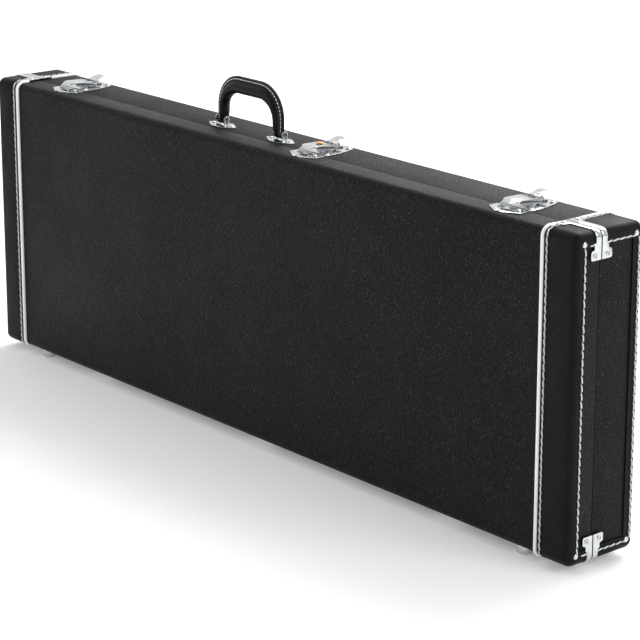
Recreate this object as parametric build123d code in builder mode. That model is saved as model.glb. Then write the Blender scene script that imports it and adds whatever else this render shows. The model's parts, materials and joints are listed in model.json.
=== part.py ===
"""Hard-shell rectangular guitar case, standing on its hinge side.

Frame: millimetres, +Z up towards the handle, +X along the length to the right, the lid at the
front (-Y) and the base at the back (+Y).  The origin is on the floor, under the middle of the
case.  Bodies: base, lid, three latch levers, three draw plates, key lock, handle, box lid.
"""
from build123d import *
import os

os.makedirs("parts", exist_ok=True)

# ---------------------------------------------------------------- driving dimensions (mm)
LENGTH = 1060.0              # over the leather end caps
DEPTH = 100.0                # front to back over the end caps
HEIGHT = 360.0               # over the end caps, without feet and handle
FLOOR_GAP = 9.0              # the end caps' clearance over the floor
CAP_PROUD = 1.5              # leather cap over the vinyl
CAP_EDGE_RADIUS = 10.0       # long edges of the case at the caps
CAP_END_RADIUS = 8.0         # edge between the sides and the end face
VINYL = 0.8                  # thickness of the grained covering
RIM_BOARD = 6.0              # plywood rim boards
PANEL_BOARD = 4.0            # plywood panels
PART_Y = -14.0               # plane where lid and base meet
PART_GAP = 0.6               # gap between lid and base
CAP_INNER_X = 484.5          # inner edge of a leather cap
BORDER = 16.5                # width of the leather border on an end face
PIPING_WIDTH = 5.0
PIPING_PROUD = 3.0           # piping over the vinyl
SHEET = 1.2                  # nickel-plated sheet of the fittings

LATCH_X = {"left": -405.0, "center": 75.0, "right": 405.0}
LATCH_HALF_WIDTH = 24.0
HANDLE_X = -55.0             # middle of the handle
POST_PITCH = 110.4           # between the two handle posts
HINGE_X = (-330.0, 0.0, 330.0)
FEET_X = 450.0
FEET_Y = 33.0
FOOT_RADIUS = 9.0

# ---------------------------------------------------------------- worked-out places
HALF_X = LENGTH / 2
HALF_Y = DEPTH / 2
CAP_LOW = FLOOR_GAP
CAP_HIGH = FLOOR_GAP + HEIGHT
MID_Z = FLOOR_GAP + HEIGHT / 2
VINYL_X = HALF_X - CAP_PROUD
VINYL_Y = HALF_Y - CAP_PROUD
VINYL_LOW = CAP_LOW + CAP_PROUD
VINYL_HIGH = CAP_HIGH - CAP_PROUD
WOOD_X = VINYL_X - VINYL
WOOD_Y = VINYL_Y - VINYL
WOOD_LOW = VINYL_LOW + VINYL
WOOD_HIGH = VINYL_HIGH - VINYL
ROOM_X = WOOD_X - RIM_BOARD
ROOM_LOW = WOOD_LOW + RIM_BOARD
ROOM_HIGH = WOOD_HIGH - RIM_BOARD
PANEL_Y = WOOD_Y - PANEL_BOARD
BASE_FRONT = PART_Y + PART_GAP / 2
LID_BACK = PART_Y - PART_GAP / 2
FAR = 1000.0                 # reaches past the whole case


# ---------------------------------------------------------------- helpers
def write(piece, name):
    """Label a finished piece and write it as its own STEP file."""
    piece.part.label = name
    export_step(piece.part, f"parts/{name}.step")


def block(x0, x1, y0, y1, z0, z1):
    """Plain box between two corners."""
    solid = Box(x1 - x0, y1 - y0, z1 - z0, mode=Mode.PRIVATE)
    return Pos((x0 + x1) / 2, (y0 + y1) / 2, (z0 + z1) / 2) * solid


def case_block(half_x, half_y, low, high, long_radius, end_radius):
    """Block with the case's outline: rounded long edges, then rounded ends."""
    with BuildPart() as piece:
        with BuildSketch(Plane.YZ.offset(-half_x)):
            with Locations((0, (low + high) / 2)):
                RectangleRounded(2 * half_y, high - low, long_radius)
        extrude(amount=2 * half_x)
        fillet(piece.faces().filter_by(Axis.X).edges(), end_radius)
    return piece.part


VINYL_RADIUS = CAP_EDGE_RADIUS - CAP_PROUD
CAP_BLOCK = case_block(HALF_X, HALF_Y, CAP_LOW, CAP_HIGH, CAP_EDGE_RADIUS, CAP_END_RADIUS)
VINYL_BLOCK = case_block(VINYL_X, VINYL_Y, VINYL_LOW, VINYL_HIGH, VINYL_RADIUS,
                         CAP_END_RADIUS - CAP_PROUD)
WOOD_BLOCK = case_block(WOOD_X, WOOD_Y, WOOD_LOW, WOOD_HIGH, VINYL_RADIUS - VINYL,
                        CAP_END_RADIUS - CAP_PROUD - VINYL)
HALVES = {
    "base": block(-FAR, FAR, BASE_FRONT, FAR, -FAR, FAR),
    "lid": block(-FAR, FAR, -FAR, LID_BACK, -FAR, FAR),
}
SIDE = {"base": 1, "lid": -1}        # which way a half lies from the parting plane
ENDS = {"left": -1, "right": 1}

# ---------------------------------------------------------------- plywood boards
ROOM_BLOCK = block(-ROOM_X, ROOM_X, -PANEL_Y, PANEL_Y, ROOM_LOW, ROOM_HIGH)
BOARD_REGIONS = {
    "board_top": block(-FAR, FAR, -FAR, FAR, ROOM_HIGH, FAR),
    "board_bottom": block(-FAR, FAR, -FAR, FAR, -FAR, ROOM_LOW),
    "board_left": block(-FAR, -ROOM_X, -FAR, FAR, ROOM_LOW, ROOM_HIGH),
    "board_right": block(ROOM_X, FAR, -FAR, FAR, ROOM_LOW, ROOM_HIGH),
    "panel": block(-ROOM_X, ROOM_X, -FAR, FAR, ROOM_LOW, ROOM_HIGH),
}
for half, half_region in HALVES.items():
    for board_name, region in BOARD_REGIONS.items():
        with BuildPart() as board:
            add(WOOD_BLOCK)
            add(ROOM_BLOCK, mode=Mode.SUBTRACT)
            add(half_region, mode=Mode.INTERSECT)
            add(region, mode=Mode.INTERSECT)
        write(board, f"{half}_{board_name}")

# ---------------------------------------------------------------- vinyl covering
for half, half_region in HALVES.items():
    with BuildPart() as covering:
        add(VINYL_BLOCK)
        add(WOOD_BLOCK, mode=Mode.SUBTRACT)
        add(half_region, mode=Mode.INTERSECT)
    write(covering, f"{half}_covering")

# ---------------------------------------------------------------- leather end caps
WINDOW_Y = HALF_Y - BORDER
WINDOW_LOW = CAP_LOW + BORDER
WINDOW_HIGH = CAP_HIGH - BORDER
MITRE_WIDTH = 0.9
MITRE_DEPTH = 0.7
MITRE_RUN = BORDER * 2.0

with BuildPart() as mitre_cutter:
    with BuildSketch(Plane.YZ.offset(HALF_X - MITRE_DEPTH)):
        corners = [(sy * (HALF_Y - BORDER / 2), MID_Z + sz * (HEIGHT / 2 - BORDER / 2))
                   for sy in (-1, 1) for sz in (-1, 1)]
        for corner_y, corner_z in corners:
            tilt = 45 if corner_y * (corner_z - MID_Z) > 0 else -45
            with Locations(Location((corner_y, corner_z, 0), tilt)):
                Rectangle(MITRE_RUN, MITRE_WIDTH)
    extrude(amount=2 * MITRE_DEPTH)
    mirror(about=Plane.YZ)

for half, half_region in HALVES.items():
    for end, sign in ENDS.items():
        reach = sorted((sign * CAP_INNER_X, sign * FAR))
        with BuildPart() as cap:
            add(CAP_BLOCK)
            add(VINYL_BLOCK, mode=Mode.SUBTRACT)
            add(mitre_cutter.part, mode=Mode.SUBTRACT)
            add(block(-FAR, FAR, -WINDOW_Y, WINDOW_Y, WINDOW_LOW, WINDOW_HIGH),
                mode=Mode.SUBTRACT)
            add(block(*reach, -FAR, FAR, -FAR, FAR), mode=Mode.INTERSECT)
            add(half_region, mode=Mode.INTERSECT)
        write(cap, f"{half}_cap_{end}")

# ---------------------------------------------------------------- end clips
# One half of a clip, base side, right end, top.  "out" runs away from the parting plane,
# "down" runs from the cap's top towards the floor.
CLIP_TOP_SLIT = 0.4          # half of the slit between the two halves on the top face
CLIP_END_SLIT = 0.8          # half of the slit on the end face
CLIP_STRAP = 8.7
CLIP_STRAP_END = 8.0
CLIP_STEP = 10.4
CLIP_STEP_DOWN = 13.0
CLIP_STEP_SLOPE = 1.5
CLIP_FOOT = 15.2
CLIP_FOOT_TOP = 20.5
CLIP_FOOT_SLOPE = (1.0, -0.6)   # heights of its two ends about the foot's top
CLIP_FOOT_END = 30.6
CLIP_WING = 17.4
CLIP_WING_X = 481.0
CLIP_WING_RUN = 11.0
CLIP_FLARE = 3.0
CLIP_SCREW_OUT = 10.5
CLIP_SCREW_X = CLIP_WING_X + CLIP_WING_RUN / 2
CLIP_RIVET_OUT = 9.4
CLIP_RIVET_DOWN = 25.6
FITTING_HOLE = 1.7           # clearance hole for a screw or rivet
CLIP_CORNER = 2.4

for half, side in SIDE.items():
    with BuildPart() as clips:
        wing_end = CLIP_WING_X + CLIP_WING_RUN
        bend_x = HALF_X - CAP_END_RADIUS
        with BuildSketch(Plane.XY.offset(CAP_HIGH)) as clip_top:
            with BuildLine():
                Polyline((CLIP_WING_X, PART_Y + side * CLIP_TOP_SLIT),
                         (CLIP_WING_X, PART_Y + side * CLIP_WING),
                         (wing_end, PART_Y + side * CLIP_WING),
                         (wing_end + CLIP_FLARE, PART_Y + side * CLIP_STRAP),
                         (bend_x, PART_Y + side * CLIP_STRAP),
                         (bend_x, PART_Y + side * CLIP_TOP_SLIT), close=True)
            make_face()
            wing_corners = clip_top.vertices().filter_by(
                lambda v: abs(abs(v.Y - PART_Y) - CLIP_WING) < 0.01)
            fillet(wing_corners, CLIP_CORNER)
            with Locations((CLIP_SCREW_X, PART_Y + side * CLIP_SCREW_OUT)):
                Circle(FITTING_HOLE, mode=Mode.SUBTRACT)
        extrude(amount=SHEET)
        bend_side = sorted((PART_Y + side * CLIP_END_SLIT, PART_Y + side * CLIP_STRAP_END))
        with BuildSketch(Plane.XZ.offset(-bend_side[1])) as clip_bend:
            bend_low = CAP_HIGH - CAP_END_RADIUS
            with Locations((bend_x, bend_low)):
                Circle(CAP_END_RADIUS + SHEET)
                Circle(CAP_END_RADIUS, mode=Mode.SUBTRACT)
            with Locations((bend_x, bend_low)):
                Rectangle(FAR, FAR, align=(Align.MIN, Align.MIN), mode=Mode.INTERSECT)
        extrude(amount=bend_side[1] - bend_side[0])
        with BuildSketch(Plane.YZ.offset(HALF_X)) as clip_end:
            with BuildLine():
                foot_top = CAP_HIGH - CLIP_FOOT_TOP
                Polyline((PART_Y + side * CLIP_END_SLIT, bend_low),
                         (PART_Y + side * CLIP_STRAP_END, bend_low),
                         (PART_Y + side * CLIP_STRAP_END, CAP_HIGH - CLIP_STEP_DOWN),
                         (PART_Y + side * CLIP_STEP,
                          CAP_HIGH - CLIP_STEP_DOWN - CLIP_STEP_SLOPE),
                         (PART_Y + side * CLIP_STEP, foot_top + CLIP_FOOT_SLOPE[0]),
                         (PART_Y + side * CLIP_FOOT, foot_top + CLIP_FOOT_SLOPE[1]),
                         (PART_Y + side * CLIP_FOOT, CAP_HIGH - CLIP_FOOT_END),
                         (PART_Y + side * CLIP_END_SLIT, CAP_HIGH - CLIP_FOOT_END), close=True)
            make_face()
            foot_corners = clip_end.vertices().filter_by(
                lambda v: abs(abs(v.X - PART_Y) - CLIP_FOOT) < 0.01)
            fillet(foot_corners, CLIP_CORNER)
            with Locations((PART_Y + side * CLIP_RIVET_OUT, CAP_HIGH - CLIP_RIVET_DOWN)):
                Circle(FITTING_HOLE, mode=Mode.SUBTRACT)
        extrude(amount=SHEET)
        mirror(about=Plane.YZ)
        mirror(about=Plane.XY.offset(MID_Z))
    write(clips, f"{half}_end_clips")

# ---------------------------------------------------------------- white piping
# A bead round the section, which stops either side of each end clip's wings.
CLIP_SEAT = CLIP_WING + 0.4  # clear of the wing
BEAD_RADIUS = PIPING_WIDTH / 2
BEAD_RISE = PIPING_PROUD - BEAD_RADIUS
for half, side in SIDE.items():
    seat_y = PART_Y + side * CLIP_SEAT
    bead_y = side * (VINYL_Y + BEAD_RISE)
    with BuildPart() as piping:
        with BuildLine(Plane.YZ.offset(CAP_INNER_X - BEAD_RADIUS)) as bead_path:
            FilletPolyline((seat_y, VINYL_HIGH + BEAD_RISE), (bead_y, VINYL_HIGH + BEAD_RISE),
                           (bead_y, VINYL_LOW - BEAD_RISE), (seat_y, VINYL_LOW - BEAD_RISE),
                           radius=VINYL_RADIUS + BEAD_RISE)
        with BuildSketch(Plane(origin=bead_path.line @ 0, z_dir=bead_path.line % 0)):
            Circle(BEAD_RADIUS)
        sweep()
        mirror(about=Plane.YZ)
        add(VINYL_BLOCK, mode=Mode.SUBTRACT)
    write(piping, f"{half}_piping")

# ---------------------------------------------------------------- locating lip
# Strips inside the base's rim, standing out 8 mm, which the lid shuts over.
LIP_REACH = 8.0
LIP_CLEAR = 1.0              # to the lid's boards
LIP_THICK = 3.0
LIP_SEAT = 18.0              # depth glued to the base's boards
LIP_JOINT = 0.2              # between the strips at the corners
lip_front = PART_Y - LIP_REACH
lip_back = BASE_FRONT + LIP_SEAT
lip_z = (ROOM_LOW + LIP_CLEAR, ROOM_HIGH - LIP_CLEAR)
lip_x = ROOM_X - LIP_CLEAR
with BuildPart() as locating_lip:
    for strip_low, seat_low in ((lip_z[0], ROOM_LOW), (lip_z[1] - LIP_THICK, lip_z[1])):
        add(block(-lip_x, lip_x, lip_front, lip_back, strip_low, strip_low + LIP_THICK))
        add(block(-lip_x, lip_x, BASE_FRONT, lip_back, seat_low, seat_low + LIP_CLEAR))
    for sign in ENDS.values():
        inner, outer = lip_x - LIP_THICK, ROOM_X
        strip = sorted((sign * inner, sign * lip_x))
        seat = sorted((sign * lip_x, sign * outer))
        strip_z = (lip_z[0] + LIP_THICK + LIP_JOINT, lip_z[1] - LIP_THICK - LIP_JOINT)
        add(block(*strip, lip_front, lip_back, *strip_z))
        add(block(*seat, BASE_FRONT, lip_back, *strip_z))
write(locating_lip, "locating_lip")

# ---------------------------------------------------------------- padding
# The base's foam leaves a body bay at the left, a neck channel and a head bay at the right.
LINER_X = lip_x - LIP_THICK
LINER_LOW = lip_z[0] + LIP_THICK
LINER_HIGH = lip_z[1] - LIP_THICK
FLOOR_PAD = 8.0
PAD_FRONT = PART_Y + 4.0     # the foam stops a little behind the rim
PAD_BACK = PANEL_Y - FLOOR_PAD
WALL_PAD = 12.0
BODY_BAY_RIGHT = -95.0       # where the body bay meets the neck blocks
NECK_LOW = 134.0             # neck channel
NECK_HIGH = 244.0
NECK_RIGHT = 290.0           # where the neck channel opens into the head bay
HEAD_LOW = 96.0
HEAD_HIGH = 282.0
with BuildPart() as base_floor_pad:
    add(block(-ROOM_X, ROOM_X, PAD_BACK, PANEL_Y, ROOM_LOW, ROOM_HIGH))
write(base_floor_pad, "base_floor_pad")

PAD_JOINT = 0.2              # between neighbouring pads
PAD_BLOCKS = (               # x0, x1, z0, z1 of the pads round the three bays
    (-LINER_X, BODY_BAY_RIGHT, LINER_HIGH - WALL_PAD, LINER_HIGH),
    (-LINER_X, BODY_BAY_RIGHT, LINER_LOW, LINER_LOW + WALL_PAD),
    (-LINER_X, -LINER_X + WALL_PAD, LINER_LOW + WALL_PAD + PAD_JOINT,
     LINER_HIGH - WALL_PAD - PAD_JOINT),
    (BODY_BAY_RIGHT + PAD_JOINT, NECK_RIGHT, NECK_HIGH, LINER_HIGH),
    (NECK_RIGHT + PAD_JOINT, LINER_X, HEAD_HIGH, LINER_HIGH),
    (NECK_RIGHT + PAD_JOINT, LINER_X, LINER_LOW, HEAD_LOW),
    (LINER_X - WALL_PAD, LINER_X, HEAD_LOW + PAD_JOINT, HEAD_HIGH - PAD_JOINT),
)
with BuildPart() as bay_pads:
    for x0, x1, z0, z1 in PAD_BLOCKS:
        add(block(x0, x1, PAD_FRONT, PAD_BACK, z0, z1))
write(bay_pads, "bay_pads")

# A saddle in the neck channel, with a round notch that the neck lies in.
REST_X = (150.0, 200.0)
REST_FRONT = 14.0
REST_NOTCH_RADIUS = 30.0
REST_NOTCH_DEPTH = 12.0
with BuildPart() as neck_rest:
    add(block(*REST_X, REST_FRONT, PAD_BACK, NECK_LOW + PAD_JOINT, NECK_HIGH - PAD_JOINT))
    with BuildSketch(Plane.YZ.offset(REST_X[0])):
        with Locations((REST_FRONT + REST_NOTCH_DEPTH - REST_NOTCH_RADIUS, MID_Z)):
            Circle(REST_NOTCH_RADIUS)
    extrude(amount=REST_X[1] - REST_X[0], mode=Mode.SUBTRACT)
write(neck_rest, "neck_rest")

LID_PAD = 9.0
with BuildPart() as lid_pad:
    add(block(-LINER_X, LINER_X, -PANEL_Y, -PANEL_Y + LID_PAD, LINER_LOW, LINER_HIGH))
write(lid_pad, "lid_pad")

# ---------------------------------------------------------------- accessory box
# Under the neck channel: four walls, a flat lid hinged at its lower edge, a pull tab.
BOX_WALL = 6.0
BOX_X = (BODY_BAY_RIGHT + PAD_JOINT, NECK_RIGHT)
BOX_Z = (LINER_LOW, NECK_LOW)
BOX_FRONT = PAD_FRONT + 6.0   # leaves room for the lid and its pin
BOX_LID_THICK = 4.0
BOX_LID_GAP = 0.8
BOX_PIN_RADIUS = 1.5
BOX_BORE_RADIUS = 1.56
BOX_BARREL_RADIUS = 3.0
BOX_PIN_END = 0.2            # pin ends inside the box's sides
box_pin_y = BOX_FRONT - BOX_BARREL_RADIUS - 0.4
box_pin_z = BOX_Z[0] + BOX_BARREL_RADIUS + 0.5
with BuildPart() as accessory_box:
    for x0 in (BOX_X[0], BOX_X[1] - BOX_WALL):
        add(block(x0, x0 + BOX_WALL, BOX_FRONT, PAD_BACK, *BOX_Z))
    for z0 in (BOX_Z[0], BOX_Z[1] - BOX_WALL):
        add(block(BOX_X[0] + BOX_WALL, BOX_X[1] - BOX_WALL, BOX_FRONT, PAD_BACK,
                  z0, z0 + BOX_WALL))
    for x0 in BOX_X:
        ear = 1 if x0 == BOX_X[0] else -1
        ear_x = sorted((x0, x0 + ear * BOX_WALL))
        add(block(*ear_x, box_pin_y - BOX_BARREL_RADIUS, BOX_FRONT,
                  BOX_Z[0], box_pin_z + BOX_BARREL_RADIUS))
    with BuildSketch(Plane.YZ.offset(BOX_X[0])):
        with Locations((box_pin_y, box_pin_z)):
            Circle(BOX_BORE_RADIUS)
    extrude(amount=BOX_X[1] - BOX_X[0], mode=Mode.SUBTRACT)
write(accessory_box, "accessory_box")

with BuildPart() as box_pin:
    with BuildSketch(Plane.YZ.offset(BOX_X[0] + BOX_PIN_END)):
        with Locations((box_pin_y, box_pin_z)):
            Circle(BOX_PIN_RADIUS)
    extrude(amount=BOX_X[1] - BOX_X[0] - 2 * BOX_PIN_END)
write(box_pin, "accessory_hinge_pin")

box_lid_x = (BOX_X[0] + BOX_WALL + BOX_LID_GAP, BOX_X[1] - BOX_WALL - BOX_LID_GAP)
TAB_MIDDLE_X = (box_lid_x[0] + box_lid_x[1]) / 2
TAB_WIDTH = 18.0
TAB_LENGTH = 34.0
TAB_DOWN = 22.0              # its middle under the box's top
TAB_THICK = 1.2
with BuildPart() as box_lid:
    with BuildSketch(Plane.YZ.offset(box_lid_x[0])):
        with Locations((box_pin_y, box_pin_z)):
            Circle(BOX_BARREL_RADIUS)
    extrude(amount=box_lid_x[1] - box_lid_x[0])
    add(block(*box_lid_x, box_pin_y - BOX_BARREL_RADIUS, box_pin_y - BOX_BARREL_RADIUS
              + BOX_LID_THICK, box_pin_z, BOX_Z[1] - 1.0))
    with BuildSketch(Plane.YZ.offset(box_lid_x[0])):
        with Locations((box_pin_y, box_pin_z)):
            Circle(BOX_BORE_RADIUS)
    extrude(amount=box_lid_x[1] - box_lid_x[0], mode=Mode.SUBTRACT)
write(box_lid, "accessory_lid")

tab_y = box_pin_y - BOX_BARREL_RADIUS
with BuildPart() as pull_tab:
    with BuildSketch(Plane.XZ.offset(-tab_y)):
        with Locations((TAB_MIDDLE_X, BOX_Z[1] - TAB_DOWN)):
            SlotOverall(TAB_LENGTH, TAB_WIDTH, rotation=90)
    extrude(amount=TAB_THICK)
write(pull_tab, "accessory_pull_tab")

# ---------------------------------------------------------------- feet
FOOT_CROWN = 2.5             # roll of the dome's rim
for half, side in SIDE.items():
    with BuildPart() as feet:
        with BuildSketch():
            with Locations(*[(sign * FEET_X, side * FEET_Y) for sign in ENDS.values()]):
                Circle(FOOT_RADIUS)
        extrude(amount=VINYL_LOW)
        fillet(feet.edges().group_by(Axis.Z)[0], FOOT_CROWN)
    write(feet, f"{half}_feet")

# ---------------------------------------------------------------- hinges under the case
HINGE_Z = 6.6                # axis height over the floor
KNUCKLE_RADIUS = 2.8
HINGE_PIN_RADIUS = 1.3
HINGE_BORE_RADIUS = 1.36
KNUCKLE_LENGTH = 14.0
KNUCKLE_GAP = 0.4
HINGE_WIDTH = 3 * KNUCKLE_LENGTH + 2 * KNUCKLE_GAP
LEAF_NEAR = 3.4              # from the axis to the leaf's near edge
LEAF_FAR = 23.0
WEB_NEAR = 0.6
LEAF_SCREW_OUT = 16.0
LEAF_SCREW_PITCH = 13.0
leaf_low = VINYL_LOW - SHEET
knuckle_offsets = {
    "base": (-KNUCKLE_LENGTH - KNUCKLE_GAP, KNUCKLE_LENGTH + KNUCKLE_GAP),
    "lid": (0.0,),
}
LEAF_SCREWS = [(x, LEAF_SCREW_OUT) for hinge_x in HINGE_X
               for x in (hinge_x - LEAF_SCREW_PITCH, hinge_x + LEAF_SCREW_PITCH)]
for half, side in SIDE.items():
    leaf_y = sorted((PART_Y + side * LEAF_NEAR, PART_Y + side * LEAF_FAR))
    web_y = sorted((PART_Y + side * WEB_NEAR, PART_Y + side * LEAF_NEAR))
    with BuildPart() as leaves:
        for hinge_x in HINGE_X:
            add(block(hinge_x - HINGE_WIDTH / 2, hinge_x + HINGE_WIDTH / 2, *leaf_y,
                      leaf_low, VINYL_LOW))
            for offset_x in knuckle_offsets[half]:
                knuckle_x = hinge_x + offset_x - KNUCKLE_LENGTH / 2
                add(block(knuckle_x, knuckle_x + KNUCKLE_LENGTH, *web_y, HINGE_Z, VINYL_LOW))
                with BuildSketch(Plane.YZ.offset(knuckle_x)):
                    with Locations((PART_Y, HINGE_Z)):
                        Circle(KNUCKLE_RADIUS)
                extrude(amount=KNUCKLE_LENGTH)
        with BuildSketch(Plane.YZ.offset(-HALF_X)):
            with Locations((PART_Y, HINGE_Z)):
                Circle(HINGE_BORE_RADIUS)
        extrude(amount=LENGTH, mode=Mode.SUBTRACT)
        with BuildSketch(Plane.XY.offset(leaf_low)):
            with Locations(*[(x, PART_Y + side * out) for x, out in LEAF_SCREWS]):
                Circle(FITTING_HOLE)
        extrude(amount=SHEET, mode=Mode.SUBTRACT)
    write(leaves, f"{half}_hinge_leaves")

with BuildPart() as hinge_pins:
    for hinge_x in HINGE_X:
        with BuildSketch(Plane.YZ.offset(hinge_x - HINGE_WIDTH / 2)):
            with Locations((PART_Y, HINGE_Z)):
                Circle(HINGE_PIN_RADIUS)
        extrude(amount=HINGE_WIDTH)
write(hinge_pins, "hinge_pins")

# ---------------------------------------------------------------- draw latches
# Heights are over the vinyl's top.  The lever turns on a pin through the base plate's ears.
# Link rivets at the lever's back carry the draw plate, whose hook holds the lid's catch lip.
TOP = VINYL_HIGH
CUT_UP = 30.0                # reaches over the whole latch
PLATE_EDGE = 0.8             # from the parting plane to a plate's edge
PIVOT_Y = 14.0
PIVOT_H = 6.0
PIVOT_RADIUS = 1.25
PIVOT_BORE = 1.31
LINK_Y = PIVOT_Y + 5.0
LINK_H = PIVOT_H - 1.5
LINK_RADIUS = 1.2
LINK_BORE = 1.26
BASE_EAR_X = (5.4, 6.6)
LEVER_EAR_X = (7.0, 8.2)
SKIRT_X = (10.8, 12.0)
LINK_HEAD_RADIUS = 2.9
TAB_REACH = 17.6             # finger tab's end behind the pivot
TAB_PLAN = 40.0              # longer than the lever, so only the tab's corners are rounded
TAB_CORNER = 6.0
LEVER_TOP = ((-1.5, 9.9), (5.0, 10.6), (13.0, 12.7), (TAB_REACH, 13.6))   # from the pivot
LEVER_UNDER = ((TAB_REACH, 12.3), (13.0, 11.3), (5.0, 9.2), (-1.5, 8.6))
LEVER_LIFT = 0.15            # slope at the tab's end
LINK_HEAD_END = 13.2
LINK_HEAD_SEAT = SKIRT_X[1] + 0.1
PIVOT_PIN_OVER = 0.6         # pin ends outside the lever's ears
EAR_RADIUS = 2.4
LEVER_EAR_RADIUS = 2.9
COVER_LOW = 8.2              # underside of the draw plate's top
COVER_BACK = 6.0
COVER_FRONT = -20.0
HOOK_INNER_Y = -27.8
HOOK_OUTER_Y = -29.0
HOOK_TIP_H = 2.2
LIP_Y = (-26.9, -25.7)
LIP_HEIGHT = 5.2
LIP_HALF_WIDTH = 7.0
LOCK_X = -3.0                # from the centre latch's middle
LOCK_Y = 0.0
LOCK_RADIUS = 3.6
LOCK_BORE = 3.68
PLATE_SCREWS = ((-19.5, -8.5), (19.5, -8.5), (-11.5, 31.0), (11.5, 31.0))
CATCH_SCREWS = ((-14.0, -22.0), (14.0, -22.0))

# Right halves of the outlines in plan, (x, y) from a latch's middle.
PLATE_OUTLINE = ((LATCH_HALF_WIDTH, PART_Y + PLATE_EDGE), (LATCH_HALF_WIDTH, 1.0),
                 (LATCH_HALF_WIDTH - 1.6, 3.2), (LATCH_HALF_WIDTH - 0.4, 5.4),
                 (18.5, 26.0), (15.5, 34.5), (9.0, 38.5))
PLATE_CORNER = 1.4
CATCH_OUTLINE = ((LATCH_HALF_WIDTH, PART_Y - PLATE_EDGE), (LATCH_HALF_WIDTH, -28.5),
                 (6.0, -39.2), (2.4, -39.2), (0.8, -36.5))
CATCH_CORNER = 1.6
COVER_PLAN = ((SKIRT_X[1], 30.0), (SKIRT_X[1], -17.0), (7.5, -24.5), (7.5, -30.0))
COVER_CORNER = 3.0

# Outlines from the side, (y, height over the vinyl).
EAR_WEB = 5.0                # ear's foot on the base plate
EAR_WEB_BACK = 0.5
LINK_EAR_RADIUS = 2.4
LINK_HEAD_ROUND = 0.7
LEVER_EAR = ((PIVOT_Y - 1.5, 9.2), (PIVOT_Y - 2.6, PIVOT_H), (PIVOT_Y, PIVOT_H - LEVER_EAR_RADIUS),
             (LINK_Y, LINK_H - LINK_EAR_RADIUS), (LINK_Y + 2.4, LINK_H), (LINK_Y + 1.5, 9.8))
COVER_PROFILE = ((COVER_BACK, COVER_LOW), (COVER_BACK, COVER_LOW + SHEET),
                 (COVER_FRONT, COVER_LOW + SHEET + 0.6), (-26.4, 7.8), (HOOK_OUTER_Y, 4.2),
                 (HOOK_OUTER_Y, HOOK_TIP_H), (HOOK_INNER_Y, HOOK_TIP_H), (HOOK_INNER_Y, 4.0),
                 (-25.6, 6.9), (COVER_FRONT, COVER_LOW + 0.6))
SKIRT_PROFILE = ((-17.0, COVER_LOW + SHEET), (-17.0, 6.4), (-12.0, 4.2), (6.0, 3.4),
                 (LINK_Y - 1.5, LINK_H - 2.6), (LINK_Y + 2.2, LINK_H - 1.6),
                 (LINK_Y + 2.8, LINK_H), (LINK_Y + 1.8, LINK_H + 2.4),
                 (COVER_BACK + 6.0, COVER_LOW), (COVER_BACK, COVER_LOW + SHEET))


def both_halves(right_half, middle):
    """A closed outline from its right half, mirrored about a latch's middle."""
    left_half = [(-x, y) for x, y in reversed(right_half)]
    return [(middle + x, y) for x, y in (*right_half, *left_half)]


def both_sides(x_range, middle):
    """The range on the right of a latch's middle, and its mirror image."""
    near, far = x_range
    return (middle + near, far - near), (middle - far, far - near)


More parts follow.
